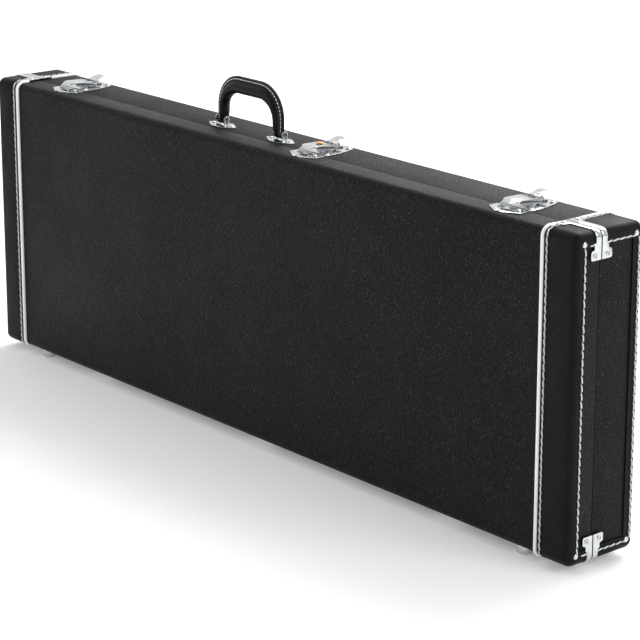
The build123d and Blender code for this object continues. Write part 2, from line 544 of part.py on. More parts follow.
for name, latch_x in LATCH_X.items():
    # base plate with two ears
    with BuildPart() as latch_plate:
        with BuildSketch(Plane.XY.offset(TOP)) as plate_outline:
            with BuildLine():
                Polyline(*both_halves(PLATE_OUTLINE, latch_x), close=True)
            make_face()
            fillet(plate_outline.vertices().group_by(Axis.Y)[1:], PLATE_CORNER)
            with Locations(*[(latch_x + x, y) for x, y in PLATE_SCREWS]):
                Circle(FITTING_HOLE, mode=Mode.SUBTRACT)
        extrude(amount=SHEET)
        for ear_x, ear_width in both_sides(BASE_EAR_X, latch_x):
            with BuildSketch(Plane.YZ.offset(ear_x)):
                with Locations((PIVOT_Y, TOP + PIVOT_H)):
                    Circle(EAR_RADIUS)
                with Locations((PIVOT_Y + EAR_WEB_BACK, TOP + SHEET)):
                    Rectangle(EAR_WEB, PIVOT_H - SHEET, align=(Align.CENTER, Align.MIN))
                with Locations((PIVOT_Y, TOP + PIVOT_H)):
                    Circle(PIVOT_BORE, mode=Mode.SUBTRACT)
            extrude(amount=ear_width)
    write(latch_plate, f"latch_plate_{name}")

    # lever: two ears under a sheet that sweeps up into the finger tab
    with BuildPart() as lever:
        with BuildSketch(Plane.YZ.offset(latch_x - LEVER_EAR_X[1])):
            with BuildLine():
                tab_top = Spline(*[(PIVOT_Y + y, TOP + h) for y, h in LEVER_TOP],
                                 tangents=((1, 0), (1, LEVER_LIFT)))
                tab_under = Spline(*[(PIVOT_Y + y, TOP + h) for y, h in LEVER_UNDER],
                                   tangents=((-1, -LEVER_LIFT), (-1, 0)))
                Line(tab_top @ 1, tab_under @ 0)
                Line(tab_under @ 1, tab_top @ 0)
            make_face()
        extrude(amount=2 * LEVER_EAR_X[1])
        with BuildSketch(Plane.XY.offset(TOP)):
            with Locations((latch_x, PIVOT_Y + TAB_REACH - TAB_PLAN / 2)):
                RectangleRounded(2 * LEVER_EAR_X[1], TAB_PLAN, TAB_CORNER)
        extrude(amount=CUT_UP, mode=Mode.INTERSECT)
        for ear_x, ear_width in both_sides(LEVER_EAR_X, latch_x):
            with BuildSketch(Plane.YZ.offset(ear_x)):
                with Locations((PIVOT_Y, TOP + PIVOT_H)):
                    Circle(LEVER_EAR_RADIUS)
                with Locations((LINK_Y, TOP + LINK_H)):
                    Circle(LINK_EAR_RADIUS)
                with BuildLine():
                    Polyline(*[(y, TOP + h) for y, h in LEVER_EAR], close=True)
                make_face()
                with Locations((PIVOT_Y, TOP + PIVOT_H)):
                    Circle(PIVOT_BORE, mode=Mode.SUBTRACT)
                with Locations((LINK_Y, TOP + LINK_H)):
                    Circle(LINK_RADIUS, mode=Mode.SUBTRACT)
            extrude(amount=ear_width)
    write(lever, f"latch_lever_{name}")

    # link rivets, fast in the lever, that the draw plate turns on
    with BuildPart() as link_rivets:
        for sign in ENDS.values():
            shank = sorted((sign * LEVER_EAR_X[0], sign * LINK_HEAD_SEAT))
            head = sorted((sign * LINK_HEAD_SEAT, sign * LINK_HEAD_END))
            for (x0, x1), radius in ((shank, LINK_RADIUS), (head, LINK_HEAD_RADIUS)):
                with BuildSketch(Plane.YZ.offset(latch_x + x0)):
                    with Locations((LINK_Y, TOP + LINK_H)):
                        Circle(radius)
                extrude(amount=x1 - x0)
        outer_rims = link_rivets.edges().filter_by(GeomType.CIRCLE).group_by(Axis.X)
        fillet(outer_rims[0] + outer_rims[-1], LINK_HEAD_ROUND)
    write(link_rivets, f"latch_link_rivets_{name}")

    # draw plate: raised cover with skirts, hooked at the front
    with BuildPart() as draw:
        with BuildSketch(Plane.YZ.offset(latch_x - SKIRT_X[1])):
            with BuildLine():
                Polyline(*[(y, TOP + h) for y, h in COVER_PROFILE], close=True)
            make_face()
        extrude(amount=2 * SKIRT_X[1])
        with BuildSketch(Plane.XY.offset(TOP)) as cover_plan:
            with BuildLine():
                Polyline(*both_halves(COVER_PLAN, latch_x), close=True)
            make_face()
            fillet(cover_plan.vertices().group_by(Axis.Y)[1:3], COVER_CORNER)
        extrude(amount=CUT_UP, mode=Mode.INTERSECT)
        for skirt_x, skirt_width in both_sides(SKIRT_X, latch_x):
            with BuildSketch(Plane.YZ.offset(skirt_x)):
                with BuildLine():
                    Polyline(*[(y, TOP + h) for y, h in SKIRT_PROFILE], close=True)
                make_face()
                with Locations((LINK_Y, TOP + LINK_H)):
                    Circle(LINK_BORE, mode=Mode.SUBTRACT)
            extrude(amount=skirt_width)
        if name == "center":
            with BuildSketch(Plane.XY.offset(TOP)):
                with Locations((latch_x + LOCK_X, LOCK_Y)):
                    Circle(LOCK_BORE)
            extrude(amount=CUT_UP, mode=Mode.SUBTRACT)
    write(draw, f"latch_draw_{name}")

    # catch plate on the lid, with the lip that the hook draws
    with BuildPart() as catch:
        with BuildSketch(Plane.XY.offset(TOP)) as catch_outline:
            with BuildLine():
                Polyline(*both_halves(CATCH_OUTLINE, latch_x), close=True)
            make_face()
            fillet(catch_outline.vertices().group_by(Axis.Y)[2], CATCH_CORNER)
            with Locations(*[(latch_x + x, y) for x, y in CATCH_SCREWS]):
                Circle(FITTING_HOLE, mode=Mode.SUBTRACT)
        extrude(amount=SHEET)
        add(block(latch_x - LIP_HALF_WIDTH, latch_x + LIP_HALF_WIDTH, *LIP_Y, TOP,
                  TOP + LIP_HEIGHT))
    write(catch, f"latch_catch_{name}")

with BuildPart() as latch_pins:
    for latch_x in LATCH_X.values():
        with BuildSketch(Plane.YZ.offset(latch_x - LEVER_EAR_X[1] - PIVOT_PIN_OVER)):
            with Locations((PIVOT_Y, TOP + PIVOT_H)):
                Circle(PIVOT_RADIUS)
        extrude(amount=2 * (LEVER_EAR_X[1] + PIVOT_PIN_OVER))
write(latch_pins, "latch_pivot_pins")

LOCK_FLANGE = 4.4
LOCK_FLANGE_SEAT = 0.5       # flange over the cover
LOCK_FLANGE_THICK = 0.8
LOCK_ROUND = 0.5
LOCK_UNDER = 2.4             # barrel's reach under the cover's underside
KEYWAY = (1.0, 4.2)
KEYWAY_CUT = 4.0
LOCK_CAM = (3.0, 7.6)        # cam at the barrel's foot
LOCK_CAM_THICK = 1.6
LOCK_CAM_SHIFT = 2.0
lock_place = (LATCH_X["center"] + LOCK_X, LOCK_Y)
with BuildPart() as lock_barrel:
    with BuildSketch(Plane.XY.offset(TOP + COVER_LOW - LOCK_UNDER)):
        with Locations(lock_place):
            Circle(LOCK_RADIUS)
    extrude(amount=LOCK_UNDER + SHEET + LOCK_FLANGE_SEAT)
    with BuildSketch(Plane.XY.offset(TOP + COVER_LOW + SHEET + LOCK_FLANGE_SEAT)):
        with Locations(lock_place):
            Circle(LOCK_FLANGE)
    extrude(amount=LOCK_FLANGE_THICK)
    fillet(lock_barrel.edges().group_by(Axis.Z)[-1], LOCK_ROUND)
    with BuildSketch(Plane.XY.offset(TOP + COVER_LOW + SHEET)):
        with Locations(lock_place):
            Rectangle(*KEYWAY)
    extrude(amount=KEYWAY_CUT, mode=Mode.SUBTRACT)
    with BuildSketch(Plane.XY.offset(TOP + COVER_LOW - LOCK_UNDER - LOCK_CAM_THICK)):
        with Locations((lock_place[0], lock_place[1] - LOCK_CAM_SHIFT)):
            Rectangle(*LOCK_CAM)
    extrude(amount=LOCK_CAM_THICK)
write(lock_barrel, "lock_barrel")

# ---------------------------------------------------------------- handle
POST_TOP = TOP + SHEET
HANDLE_AXIS_H = 8.5
HANDLE_CROWN_H = 65.5        # outer top of the grip over the vinyl
LEG_WIDTH = 12.0             # along X
LEG_DEPTH = 11.0
GRIP_DEPTH = 16.0
GRIP_HEIGHT = 21.0
ARCH_RADIUS = 30.0           # of the steel core's corners
GRIP_OUTER_RADIUS = 40.0
GRIP_INNER_RADIUS = 22.0
GRIP_SWELL = (12.0, -14.0)   # over the axis, and under the crown's middle
HANDLE_PIN_RADIUS = 1.7
EYE_BORE = 1.78
EYE_RADIUS = 3.4
POST_EAR_X = (7.4, 8.8)      # from the post's middle
POST_EAR_RADIUS = 4.2
POST_HALF_LENGTH = 27.5
POST_HALF_WIDTH = 11.5
POST_FLAT = 8.0              # half of the diamond's flat sides
POST_CORNER = 3.0
POST_EAR_WEB = 7.0
POST_PIN_OVER = 0.4
CORE_THICK = 1.6
CORE_WIDTH = 7.0
CORE_SINK = 0.4              # core into the eyes
POST_SCREW_OUT = 17.5
posts_x = [HANDLE_X + sign * POST_PITCH / 2 for sign in ENDS.values()]
axis_z = TOP + HANDLE_AXIS_H

with BuildPart() as post_plates:
    for post_x in posts_x:
        with BuildSketch(Plane.XY.offset(TOP)) as post_outline:
            with BuildLine():
                Polyline((post_x - POST_HALF_LENGTH, 0), (post_x - POST_FLAT, -POST_HALF_WIDTH),
                         (post_x + POST_FLAT, -POST_HALF_WIDTH), (post_x + POST_HALF_LENGTH, 0),
                         (post_x + POST_FLAT, POST_HALF_WIDTH),
                         (post_x - POST_FLAT, POST_HALF_WIDTH), close=True)
            make_face()
            fillet(post_outline.vertices(), POST_CORNER)
            with Locations((post_x - POST_SCREW_OUT, 0), (post_x + POST_SCREW_OUT, 0)):
                Circle(FITTING_HOLE, mode=Mode.SUBTRACT)
        extrude(amount=SHEET)
        for ear_x, ear_width in both_sides(POST_EAR_X, post_x):
            with BuildSketch(Plane.YZ.offset(ear_x)):
                with Locations((0, axis_z)):
                    Circle(POST_EAR_RADIUS)
                with Locations((0, TOP)):
                    Rectangle(POST_EAR_WEB, HANDLE_AXIS_H, align=(Align.CENTER, Align.MIN))
                with Locations((0, axis_z)):
                    Circle(HANDLE_PIN_RADIUS, mode=Mode.SUBTRACT)
            extrude(amount=ear_width)
write(post_plates, "handle_post_plates")

with BuildPart() as handle_pins:
    for post_x in posts_x:
        with BuildSketch(Plane.YZ.offset(post_x - POST_EAR_X[1] - POST_PIN_OVER)):
            with Locations((0, axis_z)):
                Circle(HANDLE_PIN_RADIUS)
        extrude(amount=2 * (POST_EAR_X[1] + POST_PIN_OVER))
write(handle_pins, "handle_pins")

crown_z = TOP + HANDLE_CROWN_H - GRIP_HEIGHT / 2
core_low = axis_z + EYE_RADIUS - CORE_SINK
with BuildPart() as handle_core:
    with BuildLine(Plane.XZ) as core_path:
        FilletPolyline((posts_x[0], core_low), (posts_x[0], crown_z),
                       (posts_x[1], crown_z), (posts_x[1], core_low),
                       radius=ARCH_RADIUS)
    with BuildSketch(Plane.XY.offset(core_low)):
        with Locations((posts_x[0], 0)):
            Rectangle(CORE_THICK, CORE_WIDTH)
    sweep(path=core_path.line)
    for post_x in posts_x:
        with BuildSketch(Plane.YZ.offset(post_x - LEG_WIDTH / 2)):
            with Locations((0, axis_z)):
                Circle(EYE_RADIUS)
                Circle(EYE_BORE, mode=Mode.SUBTRACT)
        extrude(amount=LEG_WIDTH)
write(handle_core, "handle_core")

with BuildPart() as handle_grip:
    with BuildSketch(Plane.XZ.offset(-GRIP_DEPTH / 2)) as arch:
        crown_top = TOP + HANDLE_CROWN_H
        outer_x = (posts_x[0] - LEG_WIDTH / 2, posts_x[1] + LEG_WIDTH / 2)
        leg_low = axis_z - LEG_DEPTH / 2
        with BuildLine():
            FilletPolyline((outer_x[0], leg_low), (outer_x[0], crown_top),
                           (outer_x[1], crown_top), (outer_x[1], leg_low),
                           radius=GRIP_OUTER_RADIUS)
            Line((outer_x[1], leg_low), (outer_x[1] - LEG_WIDTH, leg_low))
            FilletPolyline((outer_x[1] - LEG_WIDTH, leg_low),
                           (outer_x[1] - LEG_WIDTH, crown_top - GRIP_HEIGHT),
                           (outer_x[0] + LEG_WIDTH, crown_top - GRIP_HEIGHT),
                           (outer_x[0] + LEG_WIDTH, leg_low), radius=GRIP_INNER_RADIUS)
            Line((outer_x[0] + LEG_WIDTH, leg_low), (outer_x[0], leg_low))
        make_face()
    extrude(amount=GRIP_DEPTH)
    with BuildSketch(Plane.YZ.offset(outer_x[0])) as depth_profile:
        with BuildLine():
            leg_y = LEG_DEPTH / 2
            grip_y = GRIP_DEPTH / 2
            swell_low = axis_z + GRIP_SWELL[0]
            swell_high = crown_z + GRIP_SWELL[1]
            Polyline((-leg_y, axis_z), (-leg_y, swell_low), (-grip_y, swell_high),
                     (-grip_y, crown_top), (grip_y, crown_top), (grip_y, swell_high),
                     (leg_y, swell_low), (leg_y, axis_z), close=True)
        make_face()
        with Locations((0, axis_z)):
            Circle(leg_y)
    extrude(amount=outer_x[1] - outer_x[0], mode=Mode.INTERSECT)
    add(handle_core.part, mode=Mode.SUBTRACT)
    for post_x in posts_x:
        with BuildSketch(Plane.YZ.offset(post_x - LEG_WIDTH / 2)):
            with Locations((0, axis_z)):
                Circle(EYE_RADIUS)
        extrude(amount=LEG_WIDTH, mode=Mode.SUBTRACT)
write(handle_grip, "handle_grip")

# ---------------------------------------------------------------- screws and rivets
# Wood screws bite into the boards through clearance holes in the sheet fittings.  Each is a
# domed head with a shank.  The clip's fixings repeat at all four corners of a half.
SCREW_SHANK_RADIUS = 1.5
SCREW_LENGTH = 6.0
SCREW_HEAD_RADIUS = 2.9
SCREW_HEAD_HEIGHT = 1.3
RIVET_HEAD_RADIUS = 3.0
RIVET_LENGTH = 4.5
CORNER_RIVET_INSET = 12.0
CORNER_RIVET_RADIUS = 3.2
HEAD_ROUND = 0.9


def fixing(seat, head_radius, shank_radius, shank_length):
    """Domed head and shank on a seat plane whose normal points out of the case."""
    with BuildPart(mode=Mode.PRIVATE) as piece:
        with BuildSketch(seat):
            Circle(head_radius)
        extrude(amount=SCREW_HEAD_HEIGHT)
        top_rim = piece.faces().filter_by(GeomType.PLANE).sort_by_distance(
            seat.origin + seat.z_dir * SCREW_HEAD_HEIGHT)[0].edges()
        fillet(top_rim, HEAD_ROUND)
        with BuildSketch(seat):
            Circle(shank_radius)
        extrude(amount=-shank_length)
    return piece.part


def facing(x, y, z, normal):
    """Seat plane at a point."""
    return Plane(origin=(x, y, z), z_dir=normal)


UP, DOWN, RIGHT = (0, 0, 1), (0, 0, -1), (1, 0, 0)
for half, side in SIDE.items():
    plate_screws = PLATE_SCREWS if half == "base" else CATCH_SCREWS
    with BuildPart() as screws:
        for latch_x in LATCH_X.values():
            for x, y in plate_screws:
                add(fixing(facing(latch_x + x, y, TOP + SHEET, UP), SCREW_HEAD_RADIUS,
                           SCREW_SHANK_RADIUS, SCREW_LENGTH))
        for x, out in LEAF_SCREWS:
            add(fixing(facing(x, PART_Y + side * out, leaf_low, DOWN), SCREW_HEAD_RADIUS,
                       SCREW_SHANK_RADIUS, SCREW_LENGTH))
        if half == "base":
            for post_x in posts_x:
                for sign in ENDS.values():
                    add(fixing(facing(post_x + sign * POST_SCREW_OUT, 0, POST_TOP, UP),
                               SCREW_HEAD_RADIUS, SCREW_SHANK_RADIUS, SCREW_LENGTH))
        for level_z, normal in ((CAP_HIGH + SHEET, UP), (CAP_LOW - SHEET, DOWN)):
            for sign in ENDS.values():
                add(fixing(facing(sign * CLIP_SCREW_X, PART_Y + side * CLIP_SCREW_OUT, level_z,
                                  normal), SCREW_HEAD_RADIUS, SCREW_SHANK_RADIUS, SCREW_LENGTH))
    write(screws, f"{half}_screws")

    with BuildPart() as rivets:
        add(fixing(facing(HALF_X + SHEET, PART_Y + side * CLIP_RIVET_OUT,
                          CAP_HIGH - CLIP_RIVET_DOWN, RIGHT),
                   RIVET_HEAD_RADIUS, SCREW_SHANK_RADIUS, RIVET_LENGTH))
        add(fixing(facing(HALF_X, side * (HALF_Y - CORNER_RIVET_INSET),
                          CAP_HIGH - CORNER_RIVET_INSET, RIGHT),
                   CORNER_RIVET_RADIUS, SCREW_SHANK_RADIUS, RIVET_LENGTH))
        mirror(about=Plane.YZ)
        mirror(about=Plane.XY.offset(MID_Z))
    write(rivets, f"{half}_rivets")
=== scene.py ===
"""Dresses the frame of a rectangular hard-shell guitar case.

The frame's nodes give every place and size.  Lengths are metres, +X runs along the case, the lid
faces -Y and +Z points to the handle.
"""

import json
import math

import bmesh
import bpy
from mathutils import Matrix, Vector


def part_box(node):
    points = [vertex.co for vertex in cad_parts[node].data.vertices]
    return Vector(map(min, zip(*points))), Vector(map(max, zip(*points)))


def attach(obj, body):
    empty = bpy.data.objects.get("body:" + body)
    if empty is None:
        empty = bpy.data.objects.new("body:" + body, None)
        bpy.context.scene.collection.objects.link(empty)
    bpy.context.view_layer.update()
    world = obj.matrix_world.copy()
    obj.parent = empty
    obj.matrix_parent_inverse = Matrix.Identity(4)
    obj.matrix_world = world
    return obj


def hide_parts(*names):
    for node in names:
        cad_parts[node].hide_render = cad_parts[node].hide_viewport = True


bl_info = {
    "name": "Hard Guitar Case",
    "version": (1, 0, 0),
    "blender": (4, 5, 0),
    "location": "3D Viewport > Sidebar > Case",
    "description": "Builds the covering, stitching, fittings and padding of a hard guitar case",
    "category": "Object",
}

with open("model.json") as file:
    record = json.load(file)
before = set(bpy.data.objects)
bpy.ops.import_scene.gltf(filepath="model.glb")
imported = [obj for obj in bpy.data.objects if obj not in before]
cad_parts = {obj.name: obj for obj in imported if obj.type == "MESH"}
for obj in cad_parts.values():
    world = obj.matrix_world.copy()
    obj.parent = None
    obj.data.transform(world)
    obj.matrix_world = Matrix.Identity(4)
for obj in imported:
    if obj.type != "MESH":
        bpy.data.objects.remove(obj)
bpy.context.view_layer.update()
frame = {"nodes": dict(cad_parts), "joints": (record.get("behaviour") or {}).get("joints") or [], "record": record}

# ------------------------------------------------------------------ names and places in the frame
MM = 0.001
HALVES = {"lid": -1, "base": 1}
ENDS = {"left": -1, "right": 1}
LATCHES = ("left", "center", "right")
RECORD = frame["record"]
BODY_OF = {node: body for body, nodes in RECORD["behaviour"]["bodies"].items() for node in nodes}
JOINT_AT = {joint["name"]: Vector(joint["pos_m"]) for joint in frame["joints"] if "pos_m" in joint}
CAP_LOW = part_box("lid_cap_left")[0]
CAP_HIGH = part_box("base_cap_right")[1]
VINYL_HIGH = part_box("base_covering")[1]
PARTING = JOINT_AT["lid_hinge"].y
CASE_MIDDLE = (CAP_LOW + CAP_HIGH) / 2
CASE_HALF = (CAP_HIGH - CAP_LOW) / 2


# ------------------------------------------------------------------ settings
def length(name, description, default):
    """A length property in metres."""
    return bpy.props.FloatProperty(name=name, description=description, default=default,
                                   unit="LENGTH")


def colour(name, description, default):
    """A colour property."""
    return bpy.props.FloatVectorProperty(name=name, description=description, default=default,
                                         subtype="COLOR", min=0, max=1)


class CaseSizes(bpy.types.PropertyGroup):
    """Sizes of the stitching, grain and padding."""

    pebble: length("Pebble", "Width of one pebble of the vinyl's grain", 2.1 * MM)
    edge_roll: length("Edge roll", "Radius rolled over the edges of stamped sheet", 0.3 * MM)
    stitch_pitch: length("Stitch pitch", "Distance between the end caps' stitches", 8.9 * MM)
    stitch_length: length("Stitch length", "Length of a visible stitch on the end caps", 8.6 * MM)
    thread: length("Thread", "Radius of the end caps' thread", 1.05 * MM)
    grip_pitch: length("Grip stitch pitch", "Distance between the handle's stitches", 4.6 * MM)
    grip_thread: length("Grip thread", "Radius of the handle's thread", 0.6 * MM)
    pad_quad: length("Pad mesh", "Spacing of the padding's mesh before it is swelled", 7.0 * MM)
    pad_swell: length("Pad swell", "How far the padding's cloth may swell", 5.0 * MM)


class CaseColours(bpy.types.PropertyGroup):
    """Colours of the finishes."""

    vinyl: colour("Vinyl", "Grained covering", (0.0058, 0.0063, 0.0066))
    leather: colour("Leather", "End caps and handle", (0.0040, 0.0046, 0.0050))
    piping: colour("Piping", "Welt round the end caps", (0.95, 0.95, 0.94))
    thread: colour("Thread", "Stitching", (0.92, 0.91, 0.88))
    nickel: colour("Nickel", "Plated fittings", (0.585, 0.6, 0.61))
    bronze: colour("Bronze", "Middles of the tubular rivets", (0.52, 0.40, 0.28))
    brass: colour("Brass", "Key lock", (0.78, 0.42, 0.14))
    plush: colour("Plush", "Lining", (0.020, 0.020, 0.023))
    plywood: colour("Plywood", "Boards, stained dark", (0.040, 0.032, 0.026))


class StageSettings(bpy.types.PropertyGroup):
    """Camera, floor and lights."""

    camera_place: bpy.props.FloatVectorProperty(
        name="Camera", description="Where the camera stands", default=(2.181, -1.777, 1.003),
        subtype="XYZ", unit="LENGTH")
    camera_aim: bpy.props.FloatVectorProperty(
        name="Aim", description="Point that the camera faces", default=(0.1315, -0.05, 0.264),
        subtype="XYZ", unit="LENGTH")
    lens: bpy.props.FloatProperty(
        name="Lens", description="Focal length in millimetres", default=138.3)
    shift: bpy.props.FloatProperty(
        name="Shift", description="Vertical shift of the frame", default=-0.1)
    floor_size: length("Floor", "Length of the floor's side", 40.0)
    floor_colour: colour("Floor colour", "Pale studio floor", (0.9, 0.9, 0.9))


SETTINGS = {"case_sizes": CaseSizes, "case_colours": CaseColours, "case_stage": StageSettings}


# ------------------------------------------------------------------ node trees
class Graph:
    """A node tree with short calls that add nodes and feed their inputs."""

    COLUMN = 190

    def __init__(self, tree):
        self.tree = tree

    def add(self, kind, feeds=None, **settings):
        """Adds a node; each feed is a socket to link or a value to set."""
        node = self.tree.nodes.new(kind)
        node.location = (self.COLUMN * len(self.tree.nodes), 0)
        for key, value in settings.items():
            setattr(node, key, value)
        self.feed(node, feeds or {})
        return node

    def feed(self, node, feeds):
        """Links a socket or sets a value for each input."""
        for key, value in feeds.items():
            if isinstance(value, bpy.types.NodeSocket):
                self.tree.links.new(value, node.inputs[key])
            else:
                node.inputs[key].default_value = value

    def math(self, operation, *values, clamp=False):
        """The result of a Math node."""
        feeds = dict(enumerate(values))
        return self.add("ShaderNodeMath", feeds, operation=operation, use_clamp=clamp).outputs[0]

    def times(self, *values, clamp=False):
        """The product of two values."""
        return self.math("MULTIPLY", *values, clamp=clamp)

    def over(self, *values):
        """The first value divided by the second."""
        return self.math("DIVIDE", *values)

    def muladd(self, *values):
        """The product of two values, and a third added."""
        return self.math("MULTIPLY_ADD", *values)

    def vector(self, operation, *values):
        """The vector that a Vector Math node puts out."""
        feeds = dict(enumerate(values))
        return self.add("ShaderNodeVectorMath", feeds, operation=operation).outputs[0]

    def remap(self, value, low, high, to_low=0.0, to_high=1.0):
        """A value eased from one range to another."""
        feeds = {"Value": value, "From Min": low, "From Max": high,
                 "To Min": to_low, "To Max": to_high}
        return self.add("ShaderNodeMapRange", feeds, interpolation_type="SMOOTHSTEP").outputs[0]

    def mix_colour(self, share, first, second):
        """Two colours mixed by a share."""
        node = self.add("ShaderNodeMix", {0: share, 6: first, 7: second}, data_type="RGBA")
        return node.outputs[2]

    def noise(self, position, scale, detail=3.0, roughness=0.55):
        """A noise texture's value, about 0.5 in the middle."""
        feeds = {"Vector": position, "Scale": scale, "Detail": detail, "Roughness": roughness}
        return self.add("ShaderNodeTexNoise", feeds).outputs[0]

    def use(self, group, feeds):
        """A group node placed in this tree."""
        node = self.add(f"{self.tree.bl_idname.replace('Tree', '')}Group")
        node.node_tree = group
        self.feed(node, feeds)
        return node


SOCKETS = {"geometry": "NodeSocketGeometry", "float": "NodeSocketFloat", "int": "NodeSocketInt",
           "vector": "NodeSocketVector", "material": "NodeSocketMaterial",
           "object": "NodeSocketObject"}


def new_group(name, tree_kind, inputs, outputs):
    """An empty node group: its graph, its input node and its output node."""
    tree = bpy.data.node_groups.new(name, tree_kind)
    for socket_name, kind, default in inputs:
        socket = tree.interface.new_socket(socket_name, in_out="INPUT", socket_type=SOCKETS[kind])
        if default is not None:
            socket.default_value = default
    for socket_name, kind in outputs:
        tree.interface.new_socket(socket_name, in_out="OUTPUT", socket_type=SOCKETS[kind])
    graph = Graph(tree)
    return graph, graph.add("NodeGroupInput"), graph.add("NodeGroupOutput")


def shader_group(name, inputs, outputs):
    """An empty shader node group with a Position input first."""
    inputs = [("Position", "vector", None), *inputs]
    return new_group(name, "ShaderNodeTree", inputs, [(o, "float") for o in outputs])


def pebble_group():
    """Rounded pebbles of two sizes with creases between them, and a mask of a few pebbles for painted glints."""
    graph, given, result = shader_group(
        "Pebble grain", [("Pebble Size", "float", 1.5 * MM), ("Unevenness", "float", 0.4)],
        ("Height", "Glint"))
    scale = graph.over(1.0, given.outputs["Pebble Size"])
    sway = graph.add("ShaderNodeTexNoise", {
        "Vector": given.outputs["Position"], "Scale": graph.times(scale, 0.4),
        "Detail": 1.0}).outputs["Color"]
    sway = graph.vector("SUBTRACT", sway, (0.5, 0.5, 0.5))
    reach = graph.times(given.outputs["Pebble Size"], given.outputs["Unevenness"])
    sway = graph.add("ShaderNodeVectorMath", {0: sway, "Scale": reach}, operation="SCALE")
    place = graph.vector("ADD", given.outputs["Position"], sway.outputs[0])
    cells = graph.add("ShaderNodeTexVoronoi", {
        "Vector": place, "Scale": scale, "Smoothness": 0.4}, feature="SMOOTH_F1")
    small = graph.add("ShaderNodeTexVoronoi", {
        "Vector": place, "Scale": graph.times(scale, 2.3), "Smoothness": 0.5},
        feature="SMOOTH_F1")
    dome = graph.math("SUBTRACT", 1.0, cells.outputs["Distance"], clamp=True)
    crumbs = graph.times(small.outputs["Distance"], 0.35)
    height = graph.math("SUBTRACT", dome, crumbs, clamp=True)
    chance = graph.add("ShaderNodeSeparateColor", {0: cells.outputs["Color"]}).outputs[0]
    glint = graph.times(graph.remap(chance, 0.72, 0.98), graph.remap(height, 0.25, 0.7))
    graph.feed(result, {"Height": height})
    graph.feed(result, {"Glint": glint})
    return graph.tree


def leather_group():
    """Fine hide: hair-thin creases round small cells over a slow swell, and a painted sheen mask that follows the
    swell.
    """
    graph, given, result = shader_group(
        "Hide", [("Cell Size", "float", 1.0 * MM), ("Swell Size", "float", 14.0 * MM)],
        ("Height", "Painted Sheen"))
    position = given.outputs["Position"]
    scale = graph.over(1.0, given.outputs["Cell Size"])
    creases = graph.add("ShaderNodeTexVoronoi", {"Vector": position, "Scale": scale},
                        feature="DISTANCE_TO_EDGE").outputs["Distance"]
    creases = graph.remap(creases, 0.0, 0.16)
    swell_scale = graph.over(1.0, given.outputs["Swell Size"])
    swell = graph.noise(position, swell_scale, detail=2.0)
    fine = graph.noise(position, graph.times(scale, 2.5), detail=2.0)
    height = graph.muladd(creases, 0.5, graph.times(swell, 1.5))
    height = graph.muladd(fine, 0.25, height)
    graph.feed(result, {"Height": height})
    graph.feed(result, {"Painted Sheen": graph.remap(swell, 0.3, 0.7)})
    return graph.tree


def rub_group():
    """Wear along the edges and corners of a block, broken up by noise."""
    graph, given, result = shader_group(
        "Edge rub", [("Middle", "vector", None), ("Half Size", "vector", None),
                     ("Reach", "float", 5 * MM), ("Patch Size", "float", 20 * MM)], ("Rub",))
    offset = graph.vector("ABSOLUTE", graph.vector(
        "SUBTRACT", given.outputs["Position"], given.outputs["Middle"]))
    depth = graph.vector("SUBTRACT", given.outputs["Half Size"], offset)
    parts = graph.add("ShaderNodeSeparateXYZ", {0: depth}).outputs
    near = [graph.remap(graph.over(part, given.outputs["Reach"]), 0.0, 1.0, 1.0, 0.0)
            for part in parts]
    pairs = [graph.times(near[i], near[(i + 1) % 3]) for i in range(3)]
    edges = graph.math("MAXIMUM", pairs[0], graph.math("MAXIMUM", pairs[1], pairs[2]))
    patches = graph.noise(given.outputs["Position"],
                          graph.over(1.0, given.outputs["Patch Size"]), detail=5.0)
    rub = graph.times(edges, graph.remap(patches, 0.42, 0.68))
    graph.feed(result, {"Rub": rub})
    return graph.tree


def dust_group():
    """Slow smudges and fine specks of dust."""
    graph, given, result = shader_group(
        "Dust", [("Smudge Size", "float", 60 * MM), ("Speck Size", "float", 2.5 * MM)],
        ("Smudge", "Speck"))
    position = given.outputs["Position"]
    smudge = graph.noise(position, graph.over(1.0, given.outputs["Smudge Size"]), 4.0)
    specks = graph.add("ShaderNodeTexVoronoi", {
        "Vector": position, "Scale": graph.over(1.0, given.outputs["Speck Size"])})
    chance = graph.add("ShaderNodeSeparateColor", {0: specks.outputs["Color"]}).outputs[1]
    speck = graph.times(graph.remap(chance, 0.9, 1.0),
                        graph.remap(specks.outputs["Distance"], 0.1, 0.35, 1.0, 0.0))
    graph.feed(result, {"Smudge": graph.remap(smudge, 0.35, 0.7)})
    graph.feed(result, {"Speck": speck})
    return graph.tree


def plating_group():
    """Rolled and tumbled plate: fine scratches along one way and cloudy haze."""
    graph, given, result = shader_group(
        "Plating", [("Scratch Length", "float", 9 * MM), ("Scratch Width", "float", 0.35 * MM),
                    ("Haze Size", "float", 7 * MM)], ("Scratches", "Haze"))
    position = given.outputs["Position"]
    stretch = graph.add("ShaderNodeCombineXYZ", {
        0: graph.over(1.0, given.outputs["Scratch Length"]),
        1: graph.over(1.0, given.outputs["Scratch Width"]),
        2: graph.over(1.0, given.outputs["Scratch Width"])}).outputs[0]
    scratches = graph.noise(graph.vector("MULTIPLY", position, stretch), 1.0, detail=4.0)
    haze = graph.noise(position, graph.over(1.0, given.outputs["Haze Size"]), 4.0)
    graph.feed(result, {"Scratches": scratches})
    graph.feed(result, {"Haze": graph.remap(haze, 0.3, 0.75)})
    return graph.tree


